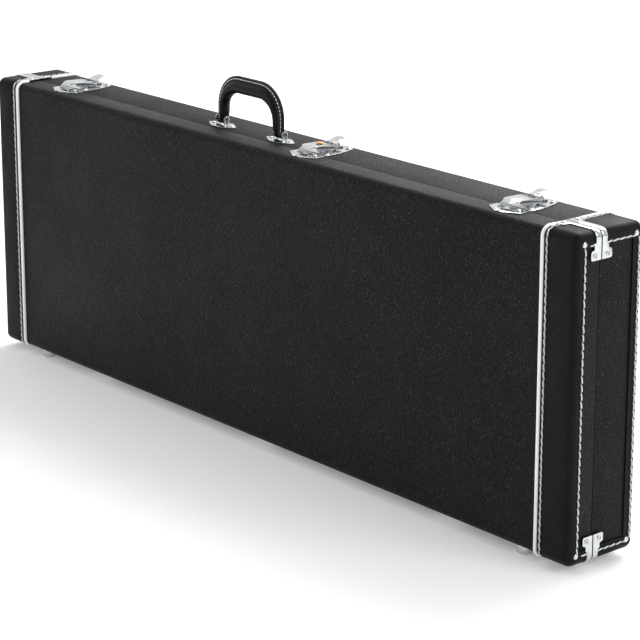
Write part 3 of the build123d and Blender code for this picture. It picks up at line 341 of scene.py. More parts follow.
def pile_group():
    """Short pile of plush: tufts lying in slowly turning directions, and a nap mask that carries a painted sheen.
    """
    graph, given, result = shader_group(
        "Pile", [("Tuft Size", "float", 0.7 * MM), ("Nap Size", "float", 45 * MM)],
        ("Height", "Nap"))
    position = given.outputs["Position"]
    nap = graph.noise(position, graph.over(1.0, given.outputs["Nap Size"]), 3.0)
    lean = graph.add("ShaderNodeCombineXYZ", {0: graph.times(nap, 4 * MM)})
    place = graph.vector("ADD", position, lean.outputs[0])
    tufts = graph.add("ShaderNodeTexVoronoi", {
        "Vector": place, "Scale": graph.over(1.0, given.outputs["Tuft Size"])})
    height = graph.math("SUBTRACT", 1.0, tufts.outputs["Distance"], clamp=True)
    graph.feed(result, {"Height": height})
    graph.feed(result, {"Nap": graph.remap(nap, 0.35, 0.65)})
    return graph.tree


def ply_group():
    """Crossed veneers seen on a board's edge and long grain on its face."""
    graph, given, result = shader_group(
        "Ply", [("Across", "vector", (0, 0, 1)), ("Veneer", "float", 1.2 * MM)],
        ("Layer", "Grain"))
    position = given.outputs["Position"]
    across = graph.add("ShaderNodeVectorMath", {0: position, 1: given.outputs["Across"]},
                       operation="DOT_PRODUCT").outputs["Value"]
    layer = graph.math("FRACT", graph.over(across, graph.times(given.outputs["Veneer"], 2.0)))
    layer = graph.remap(layer, 0.42, 0.58)
    grain = graph.noise(graph.vector("MULTIPLY", position, (12.0, 260.0, 260.0)), 1.0, 5.0)
    graph.feed(result, {"Layer": layer})
    graph.feed(result, {"Grain": grain})
    return graph.tree


def twist_group():
    """Two-ply twist of a thread, seen as slanted ridges."""
    graph, given, result = shader_group("Twist", [("Ply Size", "float", 1.0 * MM)], ("Ridge",))
    ridges = graph.add("ShaderNodeTexWave", {
        "Vector": given.outputs["Position"],
        "Scale": graph.over(0.32, given.outputs["Ply Size"]), "Distortion": 0.6},
        wave_type="BANDS", bands_direction="DIAGONAL")
    fuzz = graph.noise(given.outputs["Position"],
                       graph.over(6.0, given.outputs["Ply Size"]), 2.0)
    ridge = graph.muladd(fuzz, 0.3, ridges.outputs[1])
    graph.feed(result, {"Ridge": ridge})
    return graph.tree


EFFECTS = {"pebble": pebble_group, "hide": leather_group, "rub": rub_group, "dust": dust_group,
           "plating": plating_group, "pile": pile_group, "ply": ply_group, "twist": twist_group}
effects = {}
finishes = {}


# ------------------------------------------------------------------ finishes
def new_finish(name, **shader):
    """A material's graph, its position socket and its Principled BSDF with plain values set."""
    material = finishes[name] = bpy.data.materials.new(name)
    material.use_nodes = True
    material.node_tree.nodes.clear()
    graph = Graph(material.node_tree)
    position = graph.add("ShaderNodeTexCoord").outputs["Object"]
    surface = graph.add("ShaderNodeBsdfPrincipled",
                        {key.replace("_", " "): value for key, value in shader.items()})
    graph.add("ShaderNodeOutputMaterial", {"Surface": surface.outputs[0]})
    return graph, position, surface


def rough_up(graph, surface, height, distance, strength=1.0):
    """A Bump node from a height to the surface's normal."""
    bump = graph.add("ShaderNodeBump", {"Height": height, "Distance": distance,
                                        "Strength": strength})
    graph.feed(surface, {"Normal": bump.outputs[0]})


def block_rub(graph, position, reach, patch):
    """Wear mask along the edges of the whole case."""
    return graph.use(effects["rub"], {
        "Position": position, "Middle": CASE_MIDDLE, "Half Size": CASE_HALF,
        "Reach": reach, "Patch Size": patch}).outputs["Rub"]


def plain(colour):
    """A colour property as the four numbers of a colour socket."""
    return (*colour, 1.0)


def scaled(colour, factor):
    """A colour made lighter or darker."""
    return (*(min(1.0, part * factor) for part in colour), 1.0)


def vinyl_finish(sizes, colours):
    """Pebbled black vinyl cloth with faint painted glints, painted shade between the pebbles, smudges and rubbed
    edges.
    """
    graph, position, surface = new_finish("pebbled_vinyl", Specular_IOR_Level=0.13)
    grain = graph.use(effects["pebble"], {"Position": position, "Pebble Size": sizes.pebble})
    dust = graph.use(effects["dust"], {"Position": position, "Smudge Size": 90 * MM,
                                       "Speck Size": 4 * MM})
    rub = block_rub(graph, position, 9 * MM, 12 * MM)
    # Painted shade: the pebbles' tops are coloured lighter and the creases between them darker.
    hills = graph.remap(grain.outputs["Height"], 0.15, 0.85)
    base = graph.mix_colour(hills, scaled(colours.vinyl, 0.35), scaled(colours.vinyl, 1.7))
    # Painted highlight: a few pebbles are coloured much lighter as glints.
    glints = graph.times(grain.outputs["Glint"], 0.4)
    base = graph.mix_colour(glints, base, scaled(colours.vinyl, 12.0))
    base = graph.mix_colour(graph.times(dust.outputs["Speck"], 0.16), base,
                            (0.35, 0.35, 0.34, 1.0))
    base = graph.mix_colour(graph.times(rub, 0.35), base, scaled(colours.vinyl, 4.0))
    graph.feed(surface, {"Base Color": base})
    haze = graph.times(dust.outputs["Smudge"], 0.07)
    rough = graph.math("SUBTRACT", 0.52, graph.times(hills, 0.08))
    graph.feed(surface, {"Roughness": graph.math("ADD", rough, haze)})
    rough_up(graph, surface, grain.outputs["Height"], 0.6 * MM, 0.9)


def leather_finish(name, colours, gloss, shine, cell):
    """Smooth black leather with a painted sheen; gloss is its roughness, shine how strongly it reflects."""
    graph, position, surface = new_finish(name, Specular_IOR_Level=shine)
    hide = graph.use(effects["hide"], {"Position": position, "Cell Size": cell})
    dust = graph.use(effects["dust"], {"Position": position, "Smudge Size": 40 * MM})
    rub = block_rub(graph, position, 5 * MM, 8 * MM)
    # Painted sheen: the leather is coloured lighter where the slow swell rises.
    base = graph.mix_colour(hide.outputs["Painted Sheen"], scaled(colours.leather, 0.8),
                            scaled(colours.leather, 1.25))
    base = graph.mix_colour(graph.times(rub, 0.3), base, scaled(colours.leather, 7.0))
    base = graph.mix_colour(graph.times(dust.outputs["Speck"], 0.08), base, (0.3, 0.3, 0.3, 1.0))
    graph.feed(surface, {"Base Color": base})
    worn = graph.times(dust.outputs["Smudge"], 0.12)
    rough = graph.math("ADD", worn, graph.muladd(rub, 0.15, gloss))
    graph.feed(surface, {"Roughness": rough})
    rough_up(graph, surface, hide.outputs["Height"], 0.06 * MM)


def piping_finish(colours):
    """White plastic welt, a little greyed in smudges."""
    graph, position, surface = new_finish("piping_white", Specular_IOR_Level=0.5)
    dust = graph.use(effects["dust"], {"Position": position, "Smudge Size": 18 * MM})
    grime = graph.times(dust.outputs["Smudge"], 0.3)
    base = graph.mix_colour(grime, plain(colours.piping), scaled(colours.piping, 0.82))
    graph.feed(surface, {"Base Color": base})
    graph.feed(surface, {"Roughness": graph.muladd(dust.outputs["Smudge"], 0.18, 0.3)})
    ripple = graph.noise(position, 350.0, detail=2.0)
    rough_up(graph, surface, ripple, 0.05 * MM)


def thread_finish(colours):
    """Waxed off-white thread with a visible twist and painted shade in its grooves."""
    graph, position, surface = new_finish("thread_white", Specular_IOR_Level=0.3,
                                          Sheen_Weight=0.25)
    twist = graph.use(effects["twist"], {"Position": position, "Ply Size": 1.1 * MM})
    # Painted shade: the grooves of the twist are coloured darker and its ridges lighter.
    base = graph.mix_colour(graph.remap(twist.outputs["Ridge"], 0.1, 0.9),
                            scaled(colours.thread, 0.72), scaled(colours.thread, 1.1))
    graph.feed(surface, {"Base Color": base})
    graph.feed(surface, {"Roughness": graph.muladd(twist.outputs["Ridge"], -0.15, 0.75)})
    rough_up(graph, surface, twist.outputs["Ridge"], 0.12 * MM)


def metal_finish(name, colour, shine, haze_rise, tarnish):
    """Plated or plain metal; shine is its roughness where it is cleanest."""
    graph, position, surface = new_finish(name, Metallic=1.0)
    plating = graph.use(effects["plating"], {"Position": position})
    stain = graph.times(plating.outputs["Haze"], tarnish)
    base = graph.mix_colour(stain, plain(colour), scaled(colour, 0.62))
    graph.feed(surface, {"Base Color": base})
    cloud = graph.muladd(plating.outputs["Haze"], haze_rise, shine)
    rough = graph.muladd(plating.outputs["Scratches"], 0.07, cloud)
    graph.feed(surface, {"Roughness": rough})
    rough_up(graph, surface, plating.outputs["Scratches"], 0.006 * MM)


def plush_finish(colours):
    """Black short-pile plush with a painted sheen that follows the nap and painted shade between the tufts."""
    graph, position, surface = new_finish("plush_black", Specular_IOR_Level=0.15,
                                          Roughness=0.95, Sheen_Weight=0.55,
                                          Sheen_Roughness=0.45)
    pile = graph.use(effects["pile"], {"Position": position})
    # Painted sheen: the plush is coloured lighter where the nap mask rises.
    base = graph.mix_colour(pile.outputs["Nap"], scaled(colours.plush, 0.65),
                            scaled(colours.plush, 1.9))
    # Painted shade: the plush is coloured darker down between the tufts.
    shade = graph.remap(pile.outputs["Height"], 0.2, 0.9)
    base = graph.mix_colour(shade, scaled(colours.plush, 0.4), base)
    graph.feed(surface, {"Base Color": base})
    rough_up(graph, surface, pile.outputs["Height"], 0.5 * MM, 0.7)


def plywood_finish(name, colours, across):
    """Birch ply whose veneers are stacked along one direction."""
    graph, position, surface = new_finish(name, Specular_IOR_Level=0.3)
    ply = graph.use(effects["ply"], {"Position": position, "Across": across})
    warm = graph.mix_colour(ply.outputs["Grain"], scaled(colours.plywood, 0.75),
                            scaled(colours.plywood, 1.35))
    base = graph.mix_colour(graph.times(ply.outputs["Layer"], 0.55), warm,
                            scaled(colours.plywood, 0.42))
    graph.feed(surface, {"Base Color": base})
    graph.feed(surface, {"Roughness": graph.muladd(ply.outputs["Grain"], 0.2, 0.6)})
    rough_up(graph, surface, ply.outputs["Grain"], 0.1 * MM)


def floor_finish(stage):
    """Matte pale floor with barely visible mottling."""
    graph, position, surface = new_finish("studio_floor", Roughness=0.9, Specular_IOR_Level=0.1,
                                          Emission_Strength=0.22)
    mottle = graph.noise(position, 3.0, detail=4.0)
    base = graph.mix_colour(mottle, scaled(stage.floor_colour, 0.99), plain(stage.floor_colour))
    graph.feed(surface, {"Base Color": base})
    graph.feed(surface, {"Emission Color": base})


# ------------------------------------------------------------------ pieces
MERGE = 0.004 * MM
FLAT = math.radians(0.4)
SHARP = math.radians(34)
CREASE = math.radians(40)


def add_piece(name, mesh, finish, body):
    """Links a finished mesh as a piece that rides on a body."""
    piece = bpy.data.objects.new(name, mesh)
    bpy.context.scene.collection.objects.link(piece)
    mesh.materials.clear()
    mesh.materials.append(finishes[finish])
    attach(piece, body)
    return piece


def merged_shape(node):
    """A node's mesh as one welded bmesh with its flat faces joined up."""
    shape = bmesh.new()
    shape.from_mesh(frame["nodes"][node].data)
    bmesh.ops.remove_doubles(shape, verts=shape.verts, dist=MERGE)
    bmesh.ops.dissolve_limit(shape, angle_limit=FLAT, verts=shape.verts, edges=shape.edges)
    return shape


def finished_mesh(shape, name):
    """A smooth-shaded mesh from a bmesh, which is used up."""
    mesh = bpy.data.meshes.new(name)
    shape.to_mesh(mesh)
    shape.free()
    mesh.shade_smooth()
    return mesh


def roll_edges(piece, width, segments=2):
    """Rounds the piece's sharp edges and keeps its flat faces flat."""
    bevel = piece.modifiers.new("Rolled edges", "BEVEL")
    bevel.width = width
    bevel.segments = segments
    bevel.limit_method = "ANGLE"
    bevel.angle_limit = SHARP
    bevel.harden_normals = True
    bevel.use_clamp_overlap = True


def refine(node, name, finish, edge, segments=2):
    """Stands a welded, smooth-shaded, soft-edged copy in for a node."""
    piece = add_piece(name, finished_mesh(merged_shape(node), name), finish, BODY_OF[node])
    roll_edges(piece, edge, segments)
    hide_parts(node)
    return piece


def repaint(node, finish):
    """Gives a node that keeps its own mesh a better finish."""
    mesh = frame["nodes"][node].data
    mesh.materials.clear()
    mesh.materials.append(finishes[finish])


def islands(node):
    """The lowest and highest corner of each separate solid of a node, in a fixed order."""
    shape = merged_shape(node)
    left = set(shape.verts)
    boxes = []
    while left:
        group, front = set(), [next(iter(left))]
        while front:
            vertex = front.pop()
            if vertex in left:
                left.discard(vertex)
                group.add(vertex)
                front.extend(edge.other_vert(vertex) for edge in vertex.link_edges)
        places = [vertex.co for vertex in group]
        boxes.append((Vector(min(p[i] for p in places) for i in range(3)),
                      Vector(max(p[i] for p in places) for i in range(3))))
    shape.free()
    return sorted(boxes, key=lambda box: tuple(round(c, 4) for c in (*box[0], *box[1])))


def grown(tree, runs, inputs):
    """The plain mesh that a node tree grows on runs of (place, facing) points."""
    path = bpy.data.meshes.new("path")
    places, facings, edges = [], [], []
    for run in runs:
        edges += [(len(places) + i, len(places) + i + 1) for i in range(len(run) - 1)]
        places += [place for place, _ in run]
        facings += [facing for _, facing in run]
    path.from_pydata([tuple(p) for p in places], edges, [])
    attribute = path.attributes.new("facing", "FLOAT_VECTOR", "POINT")
    for item, facing in zip(attribute.data, facings):
        item.vector = facing
    carrier = bpy.data.objects.new("path", path)
    bpy.context.scene.collection.objects.link(carrier)
    modifier = carrier.modifiers.new("Grow", "NODES")
    modifier.node_group = tree
    names = {item.name: item.identifier for item in tree.interface.items_tree
             if item.item_type == "SOCKET" and item.in_out == "INPUT"}
    for name, value in inputs.items():
        modifier[names[name]] = value
    depsgraph = bpy.context.evaluated_depsgraph_get()
    mesh = bpy.data.meshes.new_from_object(carrier.evaluated_get(depsgraph))
    carrier.modifiers.remove(modifier)
    bpy.data.objects.remove(carrier)
    bpy.data.meshes.remove(path)
    return mesh


# ------------------------------------------------------------------ geometry node trees
def facing_rotation(graph, facing, tangent=None):
    """Rotation whose Z axis follows facing and whose X axis follows tangent."""
    first = graph.add("FunctionNodeAlignRotationToVector",
                      {"Vector": tangent if tangent is not None else facing},
                      axis="X" if tangent is not None else "Z")
    if tangent is None:
        return first.outputs[0]
    return graph.add("FunctionNodeAlignRotationToVector",
                     {"Rotation": first.outputs[0], "Vector": facing},
                     axis="Z", pivot_axis="X").outputs[0]


def facing_attribute(graph):
    """The facing vector kept on a path's points."""
    return graph.add("GeometryNodeInputNamedAttribute", {"Name": "facing"},
                     data_type="FLOAT_VECTOR").outputs[0]


def stitch_tree():
    """Lays two-ply stitches along each run, slightly slanted, their ends dipping into the hide."""
    graph, given, result = new_group(
        "Stitch runs", "GeometryNodeTree",
        [("Geometry", "geometry", None), ("Pitch", "float", 9 * MM),
         ("Stitch Length", "float", 8 * MM), ("Thread Radius", "float", 0.8 * MM),
         ("Slant", "float", 0.13), ("Wander", "float", 0.05), ("Twists", "float", 2.5),
         ("Seed", "int", 3), ("Material", "material", None)], [("Geometry", "geometry")])
    take = given.outputs
    runs = graph.add("GeometryNodeMeshToCurve", {"Mesh": take["Geometry"]})
    points = graph.add("GeometryNodeCurveToPoints", {"Curve": runs.outputs[0],
                                                     "Length": take["Pitch"]}, mode="LENGTH")
    half = graph.times(take["Stitch Length"], 0.5)
    start = graph.add("ShaderNodeCombineXYZ", {0: graph.times(half, -1.0)})
    end = graph.add("ShaderNodeCombineXYZ", {0: half})
    line = graph.add("GeometryNodeCurvePrimitiveLine", {"Start": start.outputs[0],
                                                        "End": end.outputs[0]})
    line = graph.add("GeometryNodeResampleCurve", {"Curve": line.outputs[0], "Count": 9})
    along = graph.add("GeometryNodeSplineParameter").outputs["Factor"]
    across = graph.muladd(along, 2.0, -1.0)
    square = graph.times(across, across)
    fall = graph.times(graph.times(square, square), graph.times(take["Thread Radius"], -1.1))
    lift = graph.muladd(take["Thread Radius"], 0.55, fall)
    dip = graph.add("ShaderNodeCombineXYZ", {2: lift})
    line = graph.add("GeometryNodeSetPosition", {"Geometry": line.outputs[0],
                                                 "Offset": dip.outputs[0]})
    turn = graph.times(graph.times(along, take["Twists"]), 2 * math.pi)
    line = graph.add("GeometryNodeSetCurveTilt", {"Curve": line.outputs[0], "Tilt": turn})
    ply_radius = graph.times(take["Thread Radius"], 0.62)
    ply = graph.add("GeometryNodeCurvePrimitiveCircle", {"Resolution": 6, "Radius": ply_radius})
    shift = graph.times(take["Thread Radius"], 0.45)
    strands = graph.add("GeometryNodeJoinGeometry")
    for sign in (-1.0, 1.0):
        aside = graph.add("ShaderNodeCombineXYZ", {0: graph.times(shift, sign)})
        moved = graph.add("GeometryNodeTransform", {"Geometry": ply.outputs[0],
                                                    "Translation": aside.outputs[0]})
        graph.feed(strands, {0: moved.outputs[0]})
    stitch = graph.add("GeometryNodeCurveToMesh", {
        "Curve": line.outputs[0], "Profile Curve": strands.outputs[0], "Fill Caps": True})
    rotation = facing_rotation(graph, facing_attribute(graph), points.outputs["Tangent"])
    wander = graph.add("FunctionNodeRandomValue", {
        2: graph.times(take["Wander"], -1.0), 3: take["Wander"],
        "Seed": take["Seed"]}, data_type="FLOAT").outputs[1]
    slant = graph.add("ShaderNodeCombineXYZ", {2: graph.math("ADD", take["Slant"], wander)})
    slant = graph.add("FunctionNodeEulerToRotation", {0: slant.outputs[0]})
    rotation = graph.add("FunctionNodeRotateRotation", {
        "Rotation": rotation, "Rotate By": slant.outputs[0]}, rotation_space="LOCAL")
    laid = graph.add("GeometryNodeInstanceOnPoints", {
        "Points": points.outputs[0], "Instance": stitch.outputs[0],
        "Rotation": rotation.outputs[0]})
    real = graph.add("GeometryNodeRealizeInstances", {0: laid.outputs[0]})
    smooth = graph.add("GeometryNodeSetShadeSmooth", {0: real.outputs[0]})
    painted = graph.add("GeometryNodeSetMaterial", {"Geometry": smooth.outputs[0],
                                                    "Material": take["Material"]})
    graph.feed(result, {0: painted.outputs[0]})
    return graph.tree


def fastener_tree():
    """Sets a head on every point, facing its way, turned by chance and scaled to a radius."""
    graph, given, result = new_group(
        "Fasteners", "GeometryNodeTree",
        [("Geometry", "geometry", None), ("Head", "object", None), ("Radius", "float", 3 * MM),
         ("Seed", "int", 5), ("Material", "material", None)], [("Geometry", "geometry")])
    take = given.outputs
    head = graph.add("GeometryNodeObjectInfo", {"Object": take["Head"]})
    turn = graph.add("FunctionNodeRandomValue", {2: 0.0, 3: math.pi, "Seed": take["Seed"]},
                     data_type="FLOAT").outputs[1]
    spin = graph.add("ShaderNodeCombineXYZ", {2: turn})
    spin = graph.add("FunctionNodeEulerToRotation", {0: spin.outputs[0]})
    rotation = graph.add("FunctionNodeRotateRotation", {
        "Rotation": facing_rotation(graph, facing_attribute(graph)),
        "Rotate By": spin.outputs[0]}, rotation_space="LOCAL")
    size = graph.add("ShaderNodeCombineXYZ", {0: take["Radius"], 1: take["Radius"],
                                              2: take["Radius"]})
    laid = graph.add("GeometryNodeInstanceOnPoints", {
        "Points": take["Geometry"], "Instance": head.outputs["Geometry"],
        "Rotation": rotation.outputs[0], "Scale": size.outputs[0]})
    real = graph.add("GeometryNodeRealizeInstances", {0: laid.outputs[0]})
    painted = graph.add("GeometryNodeSetMaterial", {"Geometry": real.outputs[0],
                                                    "Material": take["Material"]})
    graph.feed(result, {0: painted.outputs[0]})
    return graph.tree


# ------------------------------------------------------------------ shapes of one unit radius
def turned_shape(profile, around):
    """A bmesh turned about Z from (radius, height) points, closed at both ends of the axis."""
    shape = bmesh.new()
    rings = []
    for radius, height in profile:
        rings.append([shape.verts.new((radius * math.cos(math.tau * i / around),
                                       radius * math.sin(math.tau * i / around), height))
                      for i in range(around)])
    for lower, upper in zip(rings, rings[1:]):
        for i in range(around):
            shape.faces.new((lower[i], lower[(i + 1) % around], upper[(i + 1) % around], upper[i]))
    shape.faces.new(tuple(reversed(rings[0])))
    shape.faces.new(tuple(rings[-1]))
    bmesh.ops.recalc_face_normals(shape, faces=shape.faces)
    return shape


DOME = ((1.0, -0.05), (1.0, 0.10), (0.93, 0.22), (0.75, 0.34), (0.5, 0.42), (0.22, 0.45))
TUBE = ((1.0, -0.05), (1.0, 0.14), (0.92, 0.26), (0.76, 0.31), (0.62, 0.27), (0.54, 0.14),
        (0.5, 0.02))
PLUG = ((0.56, 0.0), (0.56, 0.12), (0.4, 0.17), (0.15, 0.19))


def cross_head(radius_steps=9, around=32, slot=0.16, slot_reach=0.62, slot_depth=0.3):
    """A domed head with a cross recess."""
    shape = bmesh.new()
    rings = []
    for step in range(1, radius_steps + 1):
        radius = step / radius_steps
        ring = []
        for i in range(around):
            x = radius * math.cos(math.tau * i / around)
            y = radius * math.sin(math.tau * i / around)
            height = 0.12 + 0.33 * math.sqrt(max(0.0, 1 - radius ** 2.4))
            in_slot = min(abs(x), abs(y)) < slot and max(abs(x), abs(y)) < slot_reach
            ring.append(shape.verts.new((x, y, height - (slot_depth if in_slot else 0.0))))
        rings.append(ring)
    rings.append([shape.verts.new((v.co.x, v.co.y, -0.05)) for v in rings[-1]])
    for inner, outer in zip(rings, rings[1:]):
        for i in range(around):
            shape.faces.new((inner[i], outer[i], outer[(i + 1) % around], inner[(i + 1) % around]))
    shape.faces.new(tuple(rings[0]))
    shape.faces.new(tuple(reversed(rings[-1])))
    bmesh.ops.recalc_face_normals(shape, faces=shape.faces)
    return shape


def tool_object(name, shape):
    """A hidden object that a node tree copies."""
    mesh = finished_mesh(shape, name)
    mesh.set_sharp_from_angle(angle=CREASE)
    return bpy.data.objects.new(name, mesh)


# ------------------------------------------------------------------ paths over the case
def arc(middle, radius, start, stop, steps):
    """Points of an arc in the YZ plane as (y, z, angle)."""
    for i in range(steps + 1):
        angle = start + (stop - start) * i / steps
        yield middle[0] + radius * math.cos(angle), middle[1] + radius * math.sin(angle), angle


def ring_run(x, half, start_y, rise):
    """One half's stitch run round the section, from top to bottom, with its facings."""
    side = HALVES[half]
    radius = 10 * MM
    face_y = CASE_MIDDLE.y + side * (CASE_HALF.y - radius)
    run = [((x, start_y, CAP_HIGH.z + rise), (0, 0, 1))]
    for level, first, last in ((CAP_HIGH.z - radius, 90, 0), (CAP_LOW.z + radius, 0, -90)):
        for y, z, angle in arc((0, level), radius + rise, math.radians(first),
                               math.radians(last), 6):
            run.append(((x, face_y + side * y, z), (0, side * math.cos(angle),
                                                    math.sin(angle))))
    run.append(((x, start_y, CAP_LOW.z - rise), (0, 0, -1)))
    return run


# ------------------------------------------------------------------ operators
class CASE_OT_finishes(bpy.types.Operator):
    """Mix every finish: vinyl, leather, metals, thread, plush and plywood"""

    bl_idname = "case.finishes"
    bl_label = "Mix the finishes"

    def execute(self, context):
        sizes, colours = context.scene.case_sizes, context.scene.case_colours
        for name, build in EFFECTS.items():
            effects[name] = build()
        vinyl_finish(sizes, colours)
        leather_finish("cap_leather", colours, 0.4, 0.09, 0.9 * MM)
        leather_finish("grip_leather", colours, 0.26, 0.16, 0.7 * MM)
        piping_finish(colours)
        thread_finish(colours)
        metal_finish("nickel", colours.nickel, 0.1, 0.1, 0.3)
        metal_finish("bronze", colours.bronze, 0.3, 0.15, 0.5)
        metal_finish("brass", colours.brass, 0.22, 0.15, 0.3)
        metal_finish("steel", scaled(colours.nickel, 0.14)[:3], 0.34, 0.2, 0.4)
        plush_finish(colours)
        for axis, across in (("x", (1, 0, 0)), ("y", (0, 1, 0)), ("z", (0, 0, 1))):
            plywood_finish(f"plywood_{axis}", colours, across)
        return {"FINISHED"}


class CASE_OT_shell(bpy.types.Operator):
    """Dress the boards in vinyl, leather end caps and white piping"""

    bl_idname = "case.shell"
    bl_label = "Cover the shell"

    def execute(self, context):
        edge = context.scene.case_sizes.edge_roll
        for half in HALVES:
            refine(f"{half}_covering", f"{half}_vinyl", "pebbled_vinyl", edge)
            refine(f"{half}_piping", f"{half}_welt", "piping_white", edge)
            for end in ENDS:
                refine(f"{half}_cap_{end}", f"{half}_leather_cap_{end}", "cap_leather",
                       2.2 * edge, segments=3)
        return {"FINISHED"}


class CASE_OT_woodwork(bpy.types.Operator):
    """Give the plywood boards, the lip and the accessory box their surfaces"""

    bl_idname = "case.woodwork"
    bl_label = "Finish the woodwork"

    def execute(self, context):
        for half in HALVES:
            for board, axis in (("top", "z"), ("bottom", "z"), ("left", "x"), ("right", "x")):
                repaint(f"{half}_board_{board}", f"plywood_{axis}")
            repaint(f"{half}_panel", "plywood_y")
        refine("locating_lip", "plush_lip", "plush_black", 1.0 * MM, segments=3)
        refine("accessory_box", "plush_box", "plush_black", 1.2 * MM, segments=3)
        refine("accessory_lid", "plush_box_lid", "plush_black", 1.2 * MM, segments=3)
        refine("accessory_pull_tab", "leather_tab", "grip_leather", 0.3 * MM)
        repaint("accessory_hinge_pin", "steel")
        return {"FINISHED"}


class CASE_OT_fittings(bpy.types.Operator):
    """Plate the end clips, feet, hinges and handle posts"""

    bl_idname = "case.fittings"
    bl_label = "Plate the fittings"

    def execute(self, context):
        edge = context.scene.case_sizes.edge_roll
        for half in HALVES:
            refine(f"{half}_end_clips", f"{half}_clip_plates", "nickel", edge)
            refine(f"{half}_feet", f"{half}_glides", "nickel", edge)
            refine(f"{half}_hinge_leaves", f"{half}_leaves", "nickel", edge)
        refine("handle_post_plates", "handle_posts", "nickel", edge)
        refine("handle_pins", "post_pins", "steel", edge)
        refine("hinge_pins", "hinge_rods", "steel", edge)
        repaint("handle_core", "steel")
        return {"FINISHED"}


class CASE_OT_latches(bpy.types.Operator):
    """Plate the draw latches and colour the key lock"""

    bl_idname = "case.latches"
    bl_label = "Plate the latches"

    def execute(self, context):
        edge = context.scene.case_sizes.edge_roll
        for name in LATCHES:
            for part in ("plate", "catch", "lever", "draw", "link_rivets"):
                refine(f"latch_{part}_{name}", f"{part}_{name}", "nickel", edge)
        refine("latch_pivot_pins", "lever_pins", "steel", edge)
        refine("lock_barrel", "key_barrel", "brass", 0.2 * MM)
        return {"FINISHED"}


class CASE_OT_fasteners(bpy.types.Operator):
    """Drive the screws and set the rivets"""

    bl_idname = "case.fasteners"
    bl_label = "Drive screws and rivets"

    SCREW_HEAD = 2.9 * MM
    RIVET_HEAD = 3.0 * MM
    DOME_HEAD = 3.2 * MM
    HEAD_HEIGHT = 1.3 * MM
    CORNER_RIVET_Y = 38 * MM
    CORNER_SLACK = 2 * MM

    def execute(self, context):
        tree = fastener_tree()
        heads = {"screws": tool_object("screw_head", cross_head()),
                 "rims": tool_object("rivet_rim", turned_shape(TUBE, 24)),
                 "middles": tool_object("rivet_middle", turned_shape(PLUG, 16)),
                 "domes": tool_object("rivet_dome", turned_shape(DOME, 24))}
        for half in HALVES:
            screws = [self.seat(box, "z") for box in islands(f"{half}_screws")]
            rivets = [self.seat(box, "x") for box in islands(f"{half}_rivets")]
            corner = [seat for seat in rivets
                      if abs(abs(seat[0].y) - self.CORNER_RIVET_Y) < self.CORNER_SLACK]
            clipped = [seat for seat in rivets if seat not in corner]
            made = {
                "screws": (screws, self.SCREW_HEAD, "nickel"),
                "domes": (corner, self.DOME_HEAD, "nickel"),
                "rims": (clipped, self.RIVET_HEAD, "nickel"),
                "middles": (clipped, self.RIVET_HEAD, "bronze")}
            for kind, (seats, radius, finish) in made.items():
                mesh = grown(tree, [[seat] for seat in seats], {
                    "Head": heads[kind], "Radius": radius,
                    "Material": finishes[finish]})
                piece = add_piece(f"{half}_{kind}", mesh, finish, half)
                node = "screws" if kind == "screws" else "rivets"
                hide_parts(f"{half}_{node}")
        for head in heads.values():
            bpy.data.objects.remove(head)
        return {"FINISHED"}

    def seat(self, box, axis):
        """Where a fixing's head sits, and the way it faces, from the fixing's box."""
        low, high = box
        place = (low + high) / 2
        index = "xyz".index(axis)
        out = 1 if place[index] > CASE_MIDDLE[index] else -1
        rim = high[index] if out > 0 else low[index]
        place[index] = rim - out * self.HEAD_HEIGHT
        facing = [0, 0, 0]
        facing[index] = out
        return place, tuple(facing)


class CASE_OT_stitching(bpy.types.Operator):
    """Sew the end caps' white stitches"""

    bl_idname = "case.stitching"
    bl_label = "Sew the end caps"

    def execute(self, context):
        sizes = context.scene.case_sizes
        tree = stitch_tree()
        ring_x = 489 * MM
        wing = 18.5 * MM
        border = {"front": CAP_LOW.y + 13 * MM, "back": CAP_HIGH.y - 7.8 * MM,
                  "top": CAP_HIGH.z - 14 * MM, "bottom": CAP_LOW.z + 11 * MM}
        rivet_gap = 6 * MM
        clip_gap = 11.5 * MM
        for half, side in HALVES.items():
            runs = []
            for sign in ENDS.values():
                runs.append(ring_run(sign * ring_x, half, PARTING + side * wing, 0.1 * MM))
                line_y = border["front"] if half == "lid" else border["back"]
                x = sign * (CASE_HALF.x + 0.1 * MM)
                facing = (sign, 0, 0)
                runs.append([((x, line_y, border["top"] - rivet_gap), facing),
                             ((x, line_y, border["bottom"] + rivet_gap), facing)])
                for level in ("top", "bottom"):
                    near = PARTING + side * clip_gap
                    far = line_y - side * rivet_gap
                    runs.append([((x, near, border[level]), facing),
                                 ((x, far, border[level]), facing)])
            mesh = grown(tree, runs, {
                "Pitch": sizes.stitch_pitch, "Stitch Length": sizes.stitch_length,
                "Thread Radius": sizes.thread, "Material": finishes["thread_white"]})
            add_piece(f"{half}_stitches", mesh, "thread_white", half)
        return {"FINISHED"}


